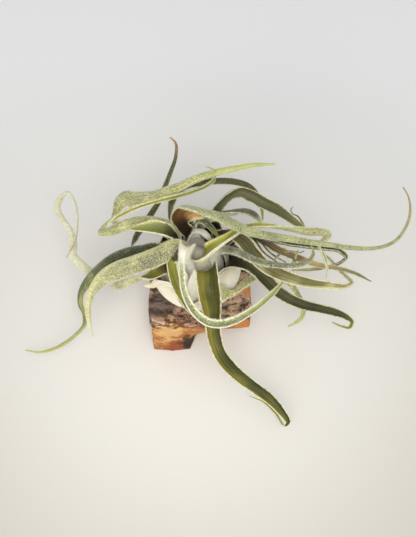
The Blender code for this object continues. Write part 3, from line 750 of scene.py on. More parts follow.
def bladeGrids(leaf, seed, shares, thin, neckEnd):
    # the free blade beyond the neck
    blade = bladeSettings
    start, growth, inward, levelInward, neckWrap = neckEnd
    route = fullRoute(leaf["route"])
    marks = [(*start, leaf["neckWidth"])]
    for right, down, height, width, _ in route:
        marks.append((*seenAt(right, down, height), width * view["mmPerPixel"]))
    path = smoothPath(marks, growth, blade["stepsPerStretch"])
    points = path[:, :3]
    directions, facings = carriedFrames(points, inward)
    twists = twistsAlong(route, points, directions, facings, blade["stepsPerStretch"])
    twists = np.radians(twists)[:, None]
    faces = facings * np.cos(twists) + np.cross(directions, facings) * np.sin(twists)
    lengths = lengthsAlong(points)
    at = ringPlaces(points, directions)
    faces, directions, widths = faces[at], directions[at], path[at, 3]
    reach = lengths[at] / lengths[-1]
    lengths = lengths[at]
    settled = np.minimum(1.0, lengths / blade["settlingMm"])
    lean = math.atan2(np.dot(levelInward, growth), np.dot(levelInward, inward))
    tilt = (lean * (1.0 - settled))[:, None]
    levelFaces = faces * np.cos(tilt) + directions * np.sin(tilt)
    chords = np.maximum(widths * (1.0 - blade["tipNarrowing"] * easeIn(reach, 0.9, 1.0)), blade["leastChord"])
    cups = np.radians(blade["cupAngle"] + (blade["tipCupAngle"] - blade["cupAngle"]) * reach)
    cups = neckWrap + (cups - neckWrap) * settled
    bendRadii = np.maximum(blade["leastRadius"], 0.5 * chords / np.sin(cups))
    cups = np.arcsin(np.minimum(np.sin(cups), 0.5 * chords / bendRadii))
    edgeWave = blade["edgeWave"] * settled[:, None]
    left = 1.0 + edgeWave * ripple(lengths, blade["waveMm"], seed + 11)[:, None]
    right = 1.0 + edgeWave * ripple(lengths, blade["waveMm"], seed + 23)[:, None]
    wave = np.where(shares < 0.0, left, right)
    middleThick = bulb["sheathThick"] + (blade["bladeThick"] - bulb["sheathThick"]) * settled
    middleThick = np.minimum(middleThick * (1.0 - blade["thinning"] * reach), 0.5 * chords)
    edgeThick = np.minimum(blade["marginThick"], 0.35 * chords)
    halfThick = 0.5 * (middleThick[:, None] * (1.0 - thin) + edgeThick[:, None] * thin)
    outer, inner = sections(
        points[at], faces, levelFaces, -np.cross(directions, faces), bendRadii, cups[:, None] * wave,
        shares, halfThick
    )
    return outer, inner, directions, lengths, reach


def leafGrids(leaf, seed):
    # all rings of one leaf from the stem to its tip, with what the finishes and the hairs need
    flat = np.linspace(-1.0, 1.0, bladeSettings["acrossPoints"])[None, :]
    roundShare = bladeSettings["roundSpacing"]
    shares = roundShare * np.sin(0.5 * np.pi * flat) + (1.0 - roundShare) * flat
    thin = np.abs(shares) ** 3
    *sheath, lengths, neckEnd = sheathGrids(leaf, seed, shares, thin)
    *blade, bladeLengths, reach = bladeGrids(leaf, seed, shares, thin, neckEnd)
    outer, inner, directions = (np.concatenate(pair) for pair in zip(sheath, blade))
    pastNeck = np.concatenate((lengths - lengths[-1], bladeLengths))
    return {
        "outer": outer, "inner": inner, "directions": directions, "shares": shares[0],
        "pastNeck": pastNeck, "alongLeaf": pastNeck + lengths[-1],
        "reach": np.concatenate((np.zeros(len(lengths)), reach)),
    }


# leaf surfaces and hairs

bakeMap = {"lengths": 3, "border": 0.05, "foldShare": 0.02, "capWidth": 0.001}


def faceCorners(*places):
    # the corners of faces on the bake map, each corner with its u and v
    return np.stack([np.stack(np.broadcast_arrays(u, v), -1) for u, v in places], axis=1)


def leafBakeMap(ringCount, wide):
    # the leaf cut into lengths that lie side by side, its back and its front in turn
    around, bands = 2 * wide, 2 * bakeMap["lengths"]
    border, fold = bakeMap["border"], bakeMap["foldShare"]
    perRow = -(-(ringCount - 1) // bakeMap["lengths"])
    ring = np.repeat(np.arange(ringCount - 1), around)
    row = ring // perRow
    low = (ring - row * perRow) / perRow
    high = low + 1.0 / perRow
    j = np.tile(np.arange(around), ringCount - 1)
    isBack = j < wide
    first = np.where(isBack, j, around - 1 - j) / (wide - 1)
    change = np.where(isBack, 1.0, -1.0) / (wide - 1)
    change = np.where(j == around - 1, -fold, np.where(j == wide - 1, fold, change))
    band = 2 * row + np.where(isBack, 0, 1)
    start = (band + border + (1.0 - 2.0 * border) * first) / bands
    end = (band + border + (1.0 - 2.0 * border) * (first + change)) / bands
    quads = [faceCorners((low, start), (low, end), (high, end), (high, start))]
    step = (1.0 - 2.0 * border) / (wide - 1) / bands
    capStart = border / bands + step * np.arange(wide - 1)
    for left, v in ((0.0, capStart), (1.0 - bakeMap["capWidth"], capStart + (bands - 2) / bands)):
        right = left + bakeMap["capWidth"]
        quads.append(faceCorners((left, v), (right, v), (right, v + step), (left, v + step)))
    return np.concatenate(quads)


def leafSurface(name, grids, seed, *materials):
    # a back and a front joined at both margins, closed at the stem and at the tip
    outer, inner, shares = grids["outer"], grids["inner"], grids["shares"]
    ringCount, wide = outer.shape[:2]
    around, last = 2 * wide, 2 * wide * (ringCount - 1)
    points = np.concatenate((outer, inner[:, ::-1]), axis=1).reshape(-1, 3)
    caps = [(c, around - 1 - c, around - 2 - c, c + 1) for c in range(wide - 1)]
    caps += [(last + c, last + c + 1, last + around - 2 - c, last + around - 1 - c) for c in range(wide - 1)]
    piece = newMesh(name, points, ringFaces(ringCount, around) + caps, *materials)
    for face in piece.data.polygons[:last]:
        face.material_index = wide <= face.index % around < around - 1
    addValues(piece.data, "acrossLeaf", np.tile(np.concatenate((shares, shares[::-1])), ringCount))
    for label in ("alongLeaf", "pastNeck", "reach"):
        addValues(piece.data, label, np.repeat(grids[label], around))
    addValues(piece.data, "leafSeed", np.full(len(points), float(seed)))
    addBakeMap(piece.data, leafBakeMap(ringCount, wide))
    return piece


hairSettings = {
    "backPerMm2": 2.4,
    "frontPerMm2": 0.5,
    "sheathPerMm2": 1.8,
    "woolPerMm2": 9.0,
    "frontWoolPerMm2": 5.4,
    "woolMiddleMm": 3.0,
    "woolFadeMm": (5.0, 13.0),
    "frontWoolFromMm": 4.0,
    "beforeThroatMm": 5.0,
    "pastThroatMm": 2.0,
    "marginPerMm": 13.0,
    "backLengthMm": 0.3,
    "woolLengthMm": 0.85,
    "marginLengthMm": 0.78,
    "radiusMm": 0.041,
    "rootMm": 0.05,
    "lean": 0.5,
    "loose": 0.5,
    "clumpMm": 1.3,
    "clumping": 0.9,
    "tipFade": 0.6,
    "mapSpot": 0.004,
}


def hairRootsOn(grid, other, directions, perMm2, draw):
    # random places on one side of a leaf, as many as its area asks for in each cell
    across = grid[:-1, 1:] - grid[:-1, :-1]
    along = grid[1:, :-1] - grid[:-1, :-1]
    areas = np.linalg.norm(np.cross(across, along), axis=-1)
    wanted = areas * perMm2[:-1, None]
    counts = np.floor(wanted + draw.random(wanted.shape)).astype(int).ravel()
    i, j = np.unravel_index(np.repeat(np.arange(counts.size), counts), areas.shape)
    s, t = draw.random(len(i))[:, None], draw.random(len(i))[:, None]
    near = grid[i, j] * (1 - s) + grid[i, j + 1] * s
    far = grid[i + 1, j] * (1 - s) + grid[i + 1, j + 1] * s
    return near * (1 - t) + far * t, unitRows(grid - other)[i, j], directions[i], i


def hairRootsOnMargin(grids, edge, within, perMm, draw):
    # random places along one margin, given its column of points and one further in
    middle = 0.5 * (grids["outer"] + grids["inner"])
    rim = middle[:, edge]
    gaps = np.linalg.norm(np.diff(rim, axis=0), axis=1)
    counts = np.floor(gaps * perMm[:-1] + draw.random(len(gaps))).astype(int)
    i = np.repeat(np.arange(len(gaps)), counts)
    t = draw.random(len(i))[:, None]
    outward = unitRows(rim - middle[:, within])
    return rim[i] * (1 - t) + rim[i + 1] * t, outward[i], grids["directions"][i], i


def hairGroups(grids, seed, leaf, draw):
    # the hairs of the back, the front and both margins: where they grow and how long they are
    settings, outer, inner = hairSettings, grids["outer"], grids["inner"]
    past, directions = grids["pastNeck"], grids["directions"]
    onSheath = np.arange(len(past)) < bulb["sheathRings"]
    wool = leaf["wool"] * (1.0 - easeIn(np.abs(past - settings["woolMiddleMm"]), *settings["woolFadeMm"]))
    throatShade = leaf["throatShade"] - settings["beforeThroatMm"], leaf["throatShade"] + settings["pastThroatMm"]
    frontWool = leaf["wool"] * (past > settings["frontWoolFromMm"]) * (1.0 - easeIn(past, *throatShade))
    clumps = 1.0 + settings["clumping"] * ripple(grids["alongLeaf"], settings["clumpMm"], seed + 41)
    back = np.where(onSheath, settings["sheathPerMm2"], settings["backPerMm2"] * leaf["fuzz"])
    front = settings["frontPerMm2"] * leaf["fuzz"] + settings["frontWoolPerMm2"] * frontWool
    marginFuzz = 0.5 + 0.5 * leaf["fuzz"]
    margin = settings["marginPerMm"] * marginFuzz * clumps
    backLength = settings["backLengthMm"] + (settings["woolLengthMm"] - settings["backLengthMm"]) * wool
    marginLength = settings["marginLengthMm"] * marginFuzz * (0.6 + 0.4 * clumps)
    return (
        (hairRootsOn(outer, inner, directions, back + settings["woolPerMm2"] * wool, draw), backLength),
        (hairRootsOn(inner, outer, directions, np.where(onSheath, 0.0, front), draw),
         settings["backLengthMm"] * (0.6 + 1.2 * frontWool)),
        (hairRootsOnMargin(grids, 0, 2, margin, draw), marginLength),
        (hairRootsOnMargin(grids, -1, -3, margin, draw), marginLength),
    )


def leafHairs(name, grids, seed, leaf, material):
    # every hair is a thin pyramid on three feet
    draw = np.random.default_rng(1000 + seed)
    settings = hairSettings
    fade = 1.0 - settings["tipFade"] * grids["reach"]
    allPoints, allPlaces = [], []
    for (roots, outward, growth, ring), length in hairGroups(grids, seed, leaf, draw):
        count = len(roots)
        loose = draw.normal(size=(count, 3)) * settings["loose"]
        ways = unitRows(outward + growth * settings["lean"] + loose)
        lengths = length[ring] * fade[ring] * (0.5 + draw.random(count))
        sideA = unitRows(np.cross(ways, growth + 0.01))
        sideB = np.cross(ways, sideA)
        spin = draw.random(count)[:, None] * 2.0 * np.pi
        corners = []
        for third in range(3):
            turn = spin + third * 2.0 * np.pi / 3.0
            aside = sideA * np.cos(turn) + sideB * np.sin(turn)
            corners.append(roots - settings["rootMm"] * ways + settings["radiusMm"] * aside)
        corners.append(roots + ways * lengths[:, None])
        allPoints.append(np.stack(corners, axis=1).reshape(-1, 3))
        allPlaces.append(grids["alongLeaf"][ring] / grids["alongLeaf"][-1])
    points, places = np.concatenate(allPoints), np.concatenate(allPlaces)
    base = (np.arange(len(places)) * 4)[:, None, None]
    faces = (base + np.array(((0, 2, 1), (0, 1, 3), (1, 2, 3), (2, 0, 3)))[None]).reshape(-1, 3)
    piece = newMesh(name, points, faces.tolist(), material)
    # each hair bakes from one small spot of the map, further right for hairs nearer the tip
    spot = settings["mapSpot"] * np.array(((0.0, 0.0), (1.0, 0.0), (0.0, 1.0)))
    corner = np.stack((places * 0.99, draw.random(len(places)) * 0.99), axis=-1)
    addBakeMap(piece.data, np.repeat(corner, 4, axis=0)[:, None, :] + spot[None])
    return piece


# Each leaf. The sheath has its shell's level, its direction and half wrap in degrees and its neck's width
# in mm. Past the neck the back is pale up to paleTo mm, and the hollow side has the throat's colour, in most
# finishes a dark painted shade, up to the throat's length in mm. The painted-light side makes one margin
# paler as if lit from there (below 0 the other one), ripe the tip, wool is round the neck.
# Each spot of the route has its place in the picture, right and down in pixels, its height in mm, the
# leaf's width in pixels, and a roll in degrees that holds until the next one. None leaves the roll open.
leafDefaults = {
    "finish": "silver", "tip": "green", "fuzz": 1.0, "paintedLightSide": 0.0, "ripe": 0.0, "wool": 0.0,
    "paleTo": 7.0, "throatShade": 10.0, "shoulder": bulb["shoulderAngle"],
}
leaves = {
    "leaf_front": {
        "sheath": (2, 279, 43, 13), "finish": "olive", "fuzz": 0.8, "paintedLightSide": -1.0, "ripe": -0.3,
        "paleTo": 26.0, "throatShade": 10.5, "throatFade": 6.0,
        "route": (
            (208, 272, 54, 22, 0), (209, 290, 53, 22), (211, 305, 47, 19), (212.5, 320, 40.5, 15),
            (214, 335, 35, 14), (219, 352, 30, 13), (229, 366, 25, 13), (243, 379, 21, 12),
            (258, 390, 18, 11), (271, 400, 16.5, 10), (281, 411, 14, 8), (288, 421, 11, 5),
            (285, 425, 8, 3, None), (275, 412, 6, 3), (262, 401, 5, 2.5), (249, 396, 5, 2),
        ),
    },
    "leaf_front_loop": {
        "sheath": (6, 243, 34, 7), "finish": "fluffy", "tip": "bright", "fuzz": 1.7, "wool": 1.0,
        "paleTo": 18.0, "throatShade": 27.0, "throatFade": 8.0,
        "route": (
            (184.7, 259, 56.4, 9, 170), (186, 247.5, 61.8, 13.5, None), (182.5, 251, 64.2, 8),
            (181, 260, 64, 6, -20), (181, 272, 62.8, 6, -30), (182.8, 290, 59, 6.5, -35),
            (187.5, 303, 56, 7.3), (195.5, 315, 53.5, 8.3), (207, 323.5, 51.8, 8.8), (220, 325.7, 50.8, 8.8),
            (234, 322.3, 50.2, 8.3), (247, 315.3, 49.5, 7.3, -32), (259, 306.5, 48.5, 6.3, -25),
            (270.5, 296, 47, 5.2, -15), (283.5, 281.5, 45, 4, 0),
        ),
    },
    "leaf_front_short": {
        "sheath": (4, 240, 43, 7), "fuzz": 0.9, "paleTo": 22.0, "throatShade": 4.0,
        "route": (
            (171.3, 260, 53.6, 10.5, 0), (175, 280, 48, 10), (183, 298, 43, 8), (191, 310, 39, 6),
            (200, 318, 36, 3),
        ),
    },
    "leaf_left_broad": {
        "sheath": (8, 204, 34, 5.5), "tip": "pale", "fuzz": 1.2, "paintedLightSide": 0.8, "ripe": 0.6,
        "route": (
            (177.5, 247.3, 58.2, 14, 150), (166, 251.5, 60, 18, 190), (149, 257.5, 58.5, 19.5, 200),
            (130, 264, 55, 19), (112, 271, 50, 19), (99, 280, 44, 15), (91, 292, 37, 9), (87.5, 304, 31, 6),
            (87.5, 315, 27, 5), (89.5, 325, 24, 3.5), (93, 337, 21, 2),
        ),
    },
    "leaf_left_under": {
        "sheath": (5, 189, 43, 8), "finish": "greyOlive", "paintedLightSide": -0.6, "ripe": 1.3,
        "route": (
            (158, 250, 50, 13, 150), (145, 252, 50, 16, 190), (128, 255, 47, 17), (110, 263, 42, 17),
            (96, 274, 37, 14), (86, 284, 33, 10), (80.5, 294, 29, 6), (80, 304, 26, 5), (84.5, 315.5, 21, 4),
            (84, 325, 18, 3.5), (76.4, 334, 15, 3), (61.5, 345, 12, 3), (50, 350, 10, 2.5), (40, 352, 9, 2),
            (25, 350, 9, 2),
        ),
    },
    "leaf_left_curl": {
        "sheath": (2, 189, 43, 10), "finish": "ghost", "tip": "brown",
        "route": (
            (149, 266, 43, 11, 60), (128, 270, 36, 11, 120), (108, 272, 31, 10, 150), (90, 272, 29, 9, 180),
            (80, 264, 30, 9), (72.5, 255, 32, 8), (73, 243, 33, 8), (70, 230, 35, 5), (62, 219, 37, 6),
            (57.5, 209, 39, 6), (60, 199, 40, 5), (67, 192.5, 42, 3), (73.5, 199, 43, 3.5, 120),
            (77.5, 213, 44, 4, 90), (77.5, 228, 43, 3.5), (75.5, 241, 42, 3), (71, 250, 42, 2.5),
            (66, 258, 42, 2),
        ),
    },
    "leaf_left_low": {
        "sheath": (3, 205, 43, 9), "tip": "pale",
        "route": (
            (156.5, 273.5, 48, 13, 30), (151, 278, 46.2, 14.5, 72), (139, 281, 43, 12.5, 100),
            (127, 285.5, 39, 10.5, 125), (118, 288, 35.5, 10, 135), (111.5, 288.8, 33, 8.5, None),
        ),
    },
    "leaf_dry": {
        "sheath": (0, 219, 31, 15), "shoulder": 99.0, "neck": 78.0, "finish": "dry", "tip": "pale",
        "fuzz": 0.4,
        "route": (
            (152.5, 286, 42, 6.5, 150), (147.5, 286, 42, 4), (144, 285.5, 42, 2.5),
        ),
    },
    "leaf_back_thin": {
        "sheath": (1, 171, 43, 8), "finish": "dark", "tip": "brown", "fuzz": 0.6,
        "route": (
            (142, 252, 43, 7, 60), (132, 247, 41, 6, 90), (135, 237, 41, 6, 150), (143, 226, 41, 6, 180),
            (151, 214, 42, 6), (158, 203, 43, 5), (166, 184, 44, 4.5), (171, 171, 45, 4), (176, 155, 47, 3),
            (175, 142, 49, 2.5), (169.6, 137, 50, 2),
        ),
    },
    "leaf_left_trough": {
        "sheath": (6, 174, 34, 6.9), "finish": "trough", "fuzz": 1.1, "throatShade": 24.0, "throatFade": 18.0,
        "route": (
            (172, 236.2, 56.9, 11, 40), (163, 232, 61.8, 15.5), (152, 230, 62.5, 15), (142, 229.5, 62, 10),
            (135, 229.5, 61.7, 6), (130, 228.8, 61, 3),
        ),
    },
    "leaf_left_strip": {
        "sheath": (7, 148, 34, 5.2), "tip": "bright",
        "route": (
            (177.5, 231.2, 53.2, 5.2, 120), (170, 225.7, 54, 7.5, 170), (159, 222.3, 56, 10, 185),
            (147, 221, 57.5, 11, 190), (132, 222.5, 58.2, 11), (117, 228, 58, 10), (106, 232, 57.5, 7.5),
            (100, 232, 57, 6, 180), (104, 225, 57, 6, 120), (115, 216.5, 59, 6, 60), (135, 206.5, 62, 6),
            (154, 200.5, 64, 6), (173, 195.5, 63, 6), (193, 190, 60, 5.5), (206, 184.5, 57, 5),
            (214, 177, 54, 4), (213, 170, 53, 3), (205, 166, 52, 2),
        ),
    },
    "leaf_back_broad": {
        "sheath": (4, 135, 43, 10), "tip": "bright", "fuzz": 1.2, "paintedLightSide": 0.5, "ripe": 0.3,
        "route": (
            (158, 232, 50, 9, 60), (145, 228, 49.5, 8, 90), (131, 226.5, 48, 6.5, 110),
            (119, 226, 47, 6, 120), (113, 219.5, 46.5, 5.5, 150), (116, 211.5, 47.3, 6.5, 180),
            (119, 204.5, 49, 12), (123, 199.5, 51, 16, 170), (131, 198.5, 53, 17, 160), (142, 197.5, 56, 15),
            (155, 195, 59, 12), (168, 190, 62, 11), (181, 185, 64, 9), (192, 179.5, 65, 8),
            (211, 173, 66, 7), (236.5, 167.5, 66, 5), (253, 164.7, 65, 4), (275, 164, 64, 2.5),
        ),
    },
    "leaf_back_dark": {
        "sheath": (0, 117, 43, 14), "finish": "dark", "fuzz": 0.5,
        "route": (
            (169, 216, 51, 9, 90), (170, 203, 53, 9, 130), (175, 192, 54, 8, 150), (185, 185, 54, 8),
            (200, 181.5, 53, 8), (219, 180, 52, 7), (236, 181, 50, 7), (250, 186, 48, 6),
            (257.5, 194, 45, 5), (262, 207, 41, 4), (263, 220, 38, 2.5),
        ),
    },
    "leaf_back_right": {
        "sheath": (1, 66, 41, 13), "finish": "greyOlive", "fuzz": 0.7,
        "route": (
            (216, 212, 53, 10, 0), (222, 201, 57, 10, 40), (231, 193, 60, 11, 50), (241, 190.5, 61, 12, 30),
            (251, 195, 60, 12, 10), (262, 202, 58, 12, 0), (275, 209, 55, 11, -10), (290, 219, 50, 8),
            (303, 228, 45, 5), (312, 234, 42, 3),
        ),
    },
    "leaf_back_loop": {
        "sheath": (5, 99, 43, 8), "finish": "loop", "tip": "pale", "fuzz": 0.8,
        "route": (
            (207, 220, 54, 8, 0), (217, 214, 58, 9, 50), (229, 211, 60, 11, 70), (246, 209, 59, 12, 100),
            (257, 214, 55, 9, 110), (263, 225, 51, 4),
        ),
    },
    "leaf_right_long": {
        "sheath": (8, 106, 34, 6.6), "finish": "amber", "tip": "brown", "paintedLightSide": -0.4, "throatShade": 24.0,
        "route": (
            (181.5, 223.5, 57.5, 13, 5), (180.5, 214.5, 63.5, 19.5, 15), (187.5, 208, 68.5, 22, 42),
            (201, 209, 71.5, 19, 75), (214, 211.8, 71.7, 13.5, 112), (225, 217.5, 71.3, 10.5, 145),
            (236, 224.3, 70.8, 9.5, 160), (246, 229.5, 69.5, 8.5, 165), (262, 234, 67, 7.5, 168),
            (284, 237.5, 65, 6.5, 170), (305, 241, 63, 5.5), (330, 244.5, 61, 4.5), (356, 248, 59, 4),
            (381, 247, 57, 3), (395, 241, 56, 3), (404, 230, 56, 2.5), (409, 218, 57, 2.5),
            (410, 206, 58, 2), (407.6, 195, 59, 2), (403, 187, 60, 2),
        ),
    },
    "leaf_crown_right": {
        "sheath": (8, 279, 34, 7.5), "tip": "pale", "fuzz": 1.3, "wool": 1.0, "paleTo": 22.0, "throatShade": 3.0,
        "route": (
            (206, 256, 57, 20, -60), (216, 248.5, 60, 17), (229, 239.5, 62, 12), (243, 230.5, 61, 9),
            (256, 227, 58, 8), (270, 227.5, 57, 8, -70), (290, 230.5, 56, 8, -110),
            (308, 232.5, 55, 8, -160), (321, 232.5, 54, 7.5, -180), (328, 235, 53, 6.5),
            (324, 239, 52, 5.5, -150), (318, 243, 51, 4.5, -110), (319, 249, 51, 4, -90),
            (322, 254, 50, 4, -60), (325, 262, 49, 4), (326.6, 270, 48, 3), (326, 278.7, 47, 2),
        ),
    },
    "leaf_right_upper": {
        "sheath": (5, 9, 34, 8), "finish": "dark",
        "route": (
            (240, 237, 52, 8, -60), (254, 236, 52, 8), (265, 239, 51, 9), (276, 242, 50, 9),
            (290, 245, 48, 8), (308, 247.5, 47, 7), (325, 249.5, 46, 6), (339, 252, 44, 6),
            (345, 257, 42, 5), (340, 262, 39.5, 4), (328, 266, 37.5, 4), (310, 269, 36, 3.5),
            (292, 270, 35, 2.5),
        ),
    },
    "leaf_right_tan": {
        "sheath": (3, 27, 43, 10), "finish": "tan", "tip": "deep", "fuzz": 0.8, "ripe": 0.9, "throatShade": 20.0,
        "route": (
            (240, 235, 48, 8, 0), (253, 235.5, 48, 8), (264, 241, 47, 8), (278, 249.5, 45, 8),
            (291, 255, 44, 8), (305, 260.5, 43, 7), (321.5, 265.5, 42, 5), (338.7, 268.4, 42, 4),
            (356, 273.6, 41, 3), (371.4, 281.6, 40, 2),
        ),
    },
    "leaf_right_front": {
        "sheath": (7, 333, 34, 6), "finish": "rimmed", "fuzz": 1.3, "paintedLightSide": -0.3, "paleTo": 11.0,
        "route": (
            (220, 250, 53, 8, 150), (231, 249.5, 56.5, 7), (243, 253.5, 60.5, 6.5), (255, 259, 62, 6.5),
            (270, 263, 61.5, 6), (285, 265, 60, 5.5), (299, 264, 58, 5), (309, 260, 57, 4),
            (313, 253, 56, 3), (311, 246, 55, 2),
        ),
    },
    "leaf_right_olive": {
        "sheath": (6, 27, 34, 7), "finish": "banded", "paintedLightSide": -0.3, "ripe": 0.8, "throatShade": 16.0,
        "route": (
            (232, 235, 56, 10, -20), (243, 241.5, 56.5, 13, -10), (252.5, 253, 53.5, 14, 0),
            (264, 265, 50.5, 13), (280, 274, 49, 12), (295, 279.5, 48, 11), (311, 283, 47.5, 9),
            (330, 285.5, 46.5, 7), (344, 286.5, 45.5, 5), (351, 283.5, 43, 3.5), (346.5, 277, 39, 3),
            (340, 270.7, 35, 3), (331, 260.4, 31, 2.5), (324, 253.5, 28.5, 2), (320, 247, 27, 2),
        ),
    },
    "leaf_right_dark": {
        "sheath": (1, 336, 46, 15), "shoulder": 82.0, "neck": 57.0, "finish": "dark", "fuzz": 0.6,
        "throatShade": 12.0,
        "route": (
            (240, 266, 51.5, 16, -60), (248, 269.5, 49, 15, -45), (257, 275, 44.5, 14, -25),
            (266, 281, 40, 13, -10), (276, 290, 35.5, 12, 0), (290, 299, 32, 11), (305, 305, 29.5, 10),
            (320, 308.5, 27.5, 9), (334, 312, 25.5, 8), (345, 316, 23.5, 6), (352, 322, 20.5, 4),
            (350, 327, 18.5, 3), (341, 326, 17.5, 2.5), (332, 322, 17.5, 2),
        ),
    },
    "leaf_right_low": {
        "sheath": (0, 293, 42, 11),
        "route": (
            (233, 292.5, 43.2, 6, 150), (246, 281.5, 42, 8), (259, 274, 38.5, 7), (271, 273.5, 34, 6),
            (283, 278, 30, 6), (293, 286, 27, 6), (300, 297, 23.5, 5), (304, 309, 19.5, 5),
            (302, 318, 17, 4), (296, 323, 15, 3.5), (288, 326.7, 13, 2),
        ),
    },
    "leaf_young_outer": {
        "sheath": (9.5, 97, 43, 4), "finish": "young", "wool": 0.4, "paleTo": 2.0,
        "route": (
            (194.5, 225.5, 58.6, 5.5, 90), (198, 219.5, 61.3, 6.5, 100), (205, 220.5, 61, 7, 130),
            (212, 227, 58.5, 6, 150), (218, 236, 55, 4),
        ),
    },
    "leaf_young_inner": {
        "sheath": (9.5, 189, 43, 4), "finish": "hood", "wool": 0.8, "paleTo": 9.0,
        "route": (
            (192, 234, 57.5, 5.5, 60), (196.5, 229.5, 60.5, 6.5, 100), (203.5, 231, 60, 7, 130),
            (209, 236.5, 57.5, 5.5, 150), (212, 241, 54.5, 3),
        ),
    },
}


def growLeaf(name, ownValues, seed):
    leaf = {**leafDefaults, **ownValues}
    leaf["level"], leaf["heading"], leaf["halfWrap"], leaf["neckWidth"] = leaf["sheath"]
    leaf.setdefault("neck", bulb["neckAngles"][min(int(leaf["level"]), len(bulb["neckAngles"]) - 1)])
    leaf.setdefault("throatFade", 0.55 * leaf["throatShade"] + 4.0)
    grids = leafGrids(leaf, seed)
    surface = leafSurface(name + "_blade", grids, seed, leafOutside(name, leaf), leafInside(name, leaf))
    hairs = leafHairs(name + "_hairs", grids, seed, leaf, leafHair(name, leaf))
    return surface, hairs


for seed, (leafName, ownValues) in enumerate(leaves.items()):
    surface, hairs = growLeaf(leafName, ownValues, seed)
    for piece in (surface, hairs):
        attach(piece, "root")
    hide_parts(leafName)
print("leaves grown", len(leaves))


# wiry wisps at the right; each spot has its place in the picture, and its height and width in mm

wisps = {
    "leaf_back_right": (
        ((305, 229, 44.5, 1.0), (303, 224, 46, 0.8), (297.4, 216, 47.5, 0.6), (292, 213.2, 47.5, 0.5),
         (291, 209, 48, 0.4), (293.2, 207, 48.5, 0.3)),
    ),
    "leaf_right_front": (
        ((274, 260, 61.3, 0.9), (281, 253.5, 62.5, 0.8), (292, 251.2, 63, 0.6), (301, 252.4, 63, 0.5),
         (304.5, 250.8, 63.3, 0.3)),
        ((293.6, 263.5, 59.3, 1.5), (295.8, 256.5, 61.5, 1.0), (297.8, 250, 63.6, 0.4)),
    ),
    "leaf_right_tan": (
        ((252, 236, 48.3, 0.9), (257, 243, 50, 0.8), (263, 251.5, 53, 0.7), (271, 258, 57, 0.6),
         (277, 262, 60.2, 0.4)),
        ((259, 237.5, 48.3, 0.9), (263.5, 245, 50.5, 0.8), (270, 252.5, 53.5, 0.7), (279, 258.5, 57, 0.6),
         (286, 262.5, 59.2, 0.4)),
    ),
}
wispSettings = {
    "sides": 8,
    "stepsPerStretch": 9,
    "deep": (66, 72, 46),
    "pale": (142, 140, 96),
    "paleBetween": (0.38, 0.62),
    "patchScale": 420.0,
    "roughness": 0.8,
}


def wispMaterial(name):
    material, tree = newMaterial(name + "Skin")
    pale = addStep(addNoise(addPlace(tree), wispSettings["patchScale"], 3.0), *wispSettings["paleBetween"])
    colour = addLayers(wispSettings["deep"], (pale, wispSettings["pale"]))
    return dress(material, {"Base Color": colour, "Roughness": wispSettings["roughness"]})


def buildWisp(name, spots):
    sides = wispSettings["sides"]
    rows = np.array([(*seenAt(*spot[:3]), spot[3]) for spot in spots])
    path = smoothPath(rows, unit(rows[1, :3] - rows[0, :3]), wispSettings["stepsPerStretch"])
    along, facings = carriedFrames(path[:, :3], np.array((0.0, 0.0, 1.0)))
    turns = np.linspace(0.0, 2.0 * np.pi, sides, endpoint=False)[None, :, None]
    rings = facings[:, None] * np.cos(turns) + np.cross(along, facings)[:, None] * np.sin(turns)
    points = (path[:, None, :3] + rings * 0.5 * path[:, None, 3:]).reshape(-1, 3)
    caps = [range(sides - 1, -1, -1), range(len(points) - sides, len(points))]
    return newMesh(name, points, ringFaces(len(path), sides) + caps, wispMaterial(name))


for leafName, leafWisps in wisps.items():
    for number, spots in enumerate(leafWisps, 1):
        wisp = buildWisp(f"{leafName}_wisp_{number}", spots)
        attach(wisp, "root")
print("wisps grown")


# the closed heart of the plant on its short stem

heart = {
    "profile": (
        (2.9, 6.4), (2.9, 18.2), (4.4, 20.6), (5.2, 23.0), (5.2, 29.5), (4.8, 32.5), (5.6, 35.5),
        (6.3, 38.5), (5.8, 42.0), (4.2, 45.0), (1.6, 47.5), (0.3, 48.0),
    ),
    "sides": 96,
    "stepsPerStretch": 9,
    "folds": 3,
    "foldDepth": 0.1,
    "foldedBetween": (30.0, 38.0),
    "twistPerMm": 0.16,
    "speckle": (0.4, 0.6),
    "speckleWeight": 0.7,
    "lines": (18.0, 20.0),
    "deep": (222, 212, 186),
    "pale": (250, 244, 226),
    "scales": (248, 245, 234),
    "top": (226, 219, 200),
    "topBetween": (39.0, 44.0),
    "stem": (124, 102, 76),
    "stemBetween": (24.0, 12.0),
    "roughness": 0.85,
    "relief": (0.5, 0.15),
}


def heartMaterial():
    material, tree = newMaterial("heartLeaves")
    scales, scaleHeight = placeGroup(tree, scaleSpeckle, *heart["speckle"])
    lines, _ = placeGroup(tree, leafStreaks, *heart["lines"])
    height = addValue(tree, "alongLeaf")
    colour = addLayers(
        heart["deep"],
        (lines, heart["pale"]),
        (scales * heart["speckleWeight"], heart["scales"]),
        (addStep(height, *heart["topBetween"]), heart["top"]),
        (addStep(height, *heart["stemBetween"]), heart["stem"]),
    )
    inputs = {"Base Color": colour, "Roughness": heart["roughness"]}
    return dress(material, inputs, scaleHeight, *heart["relief"])


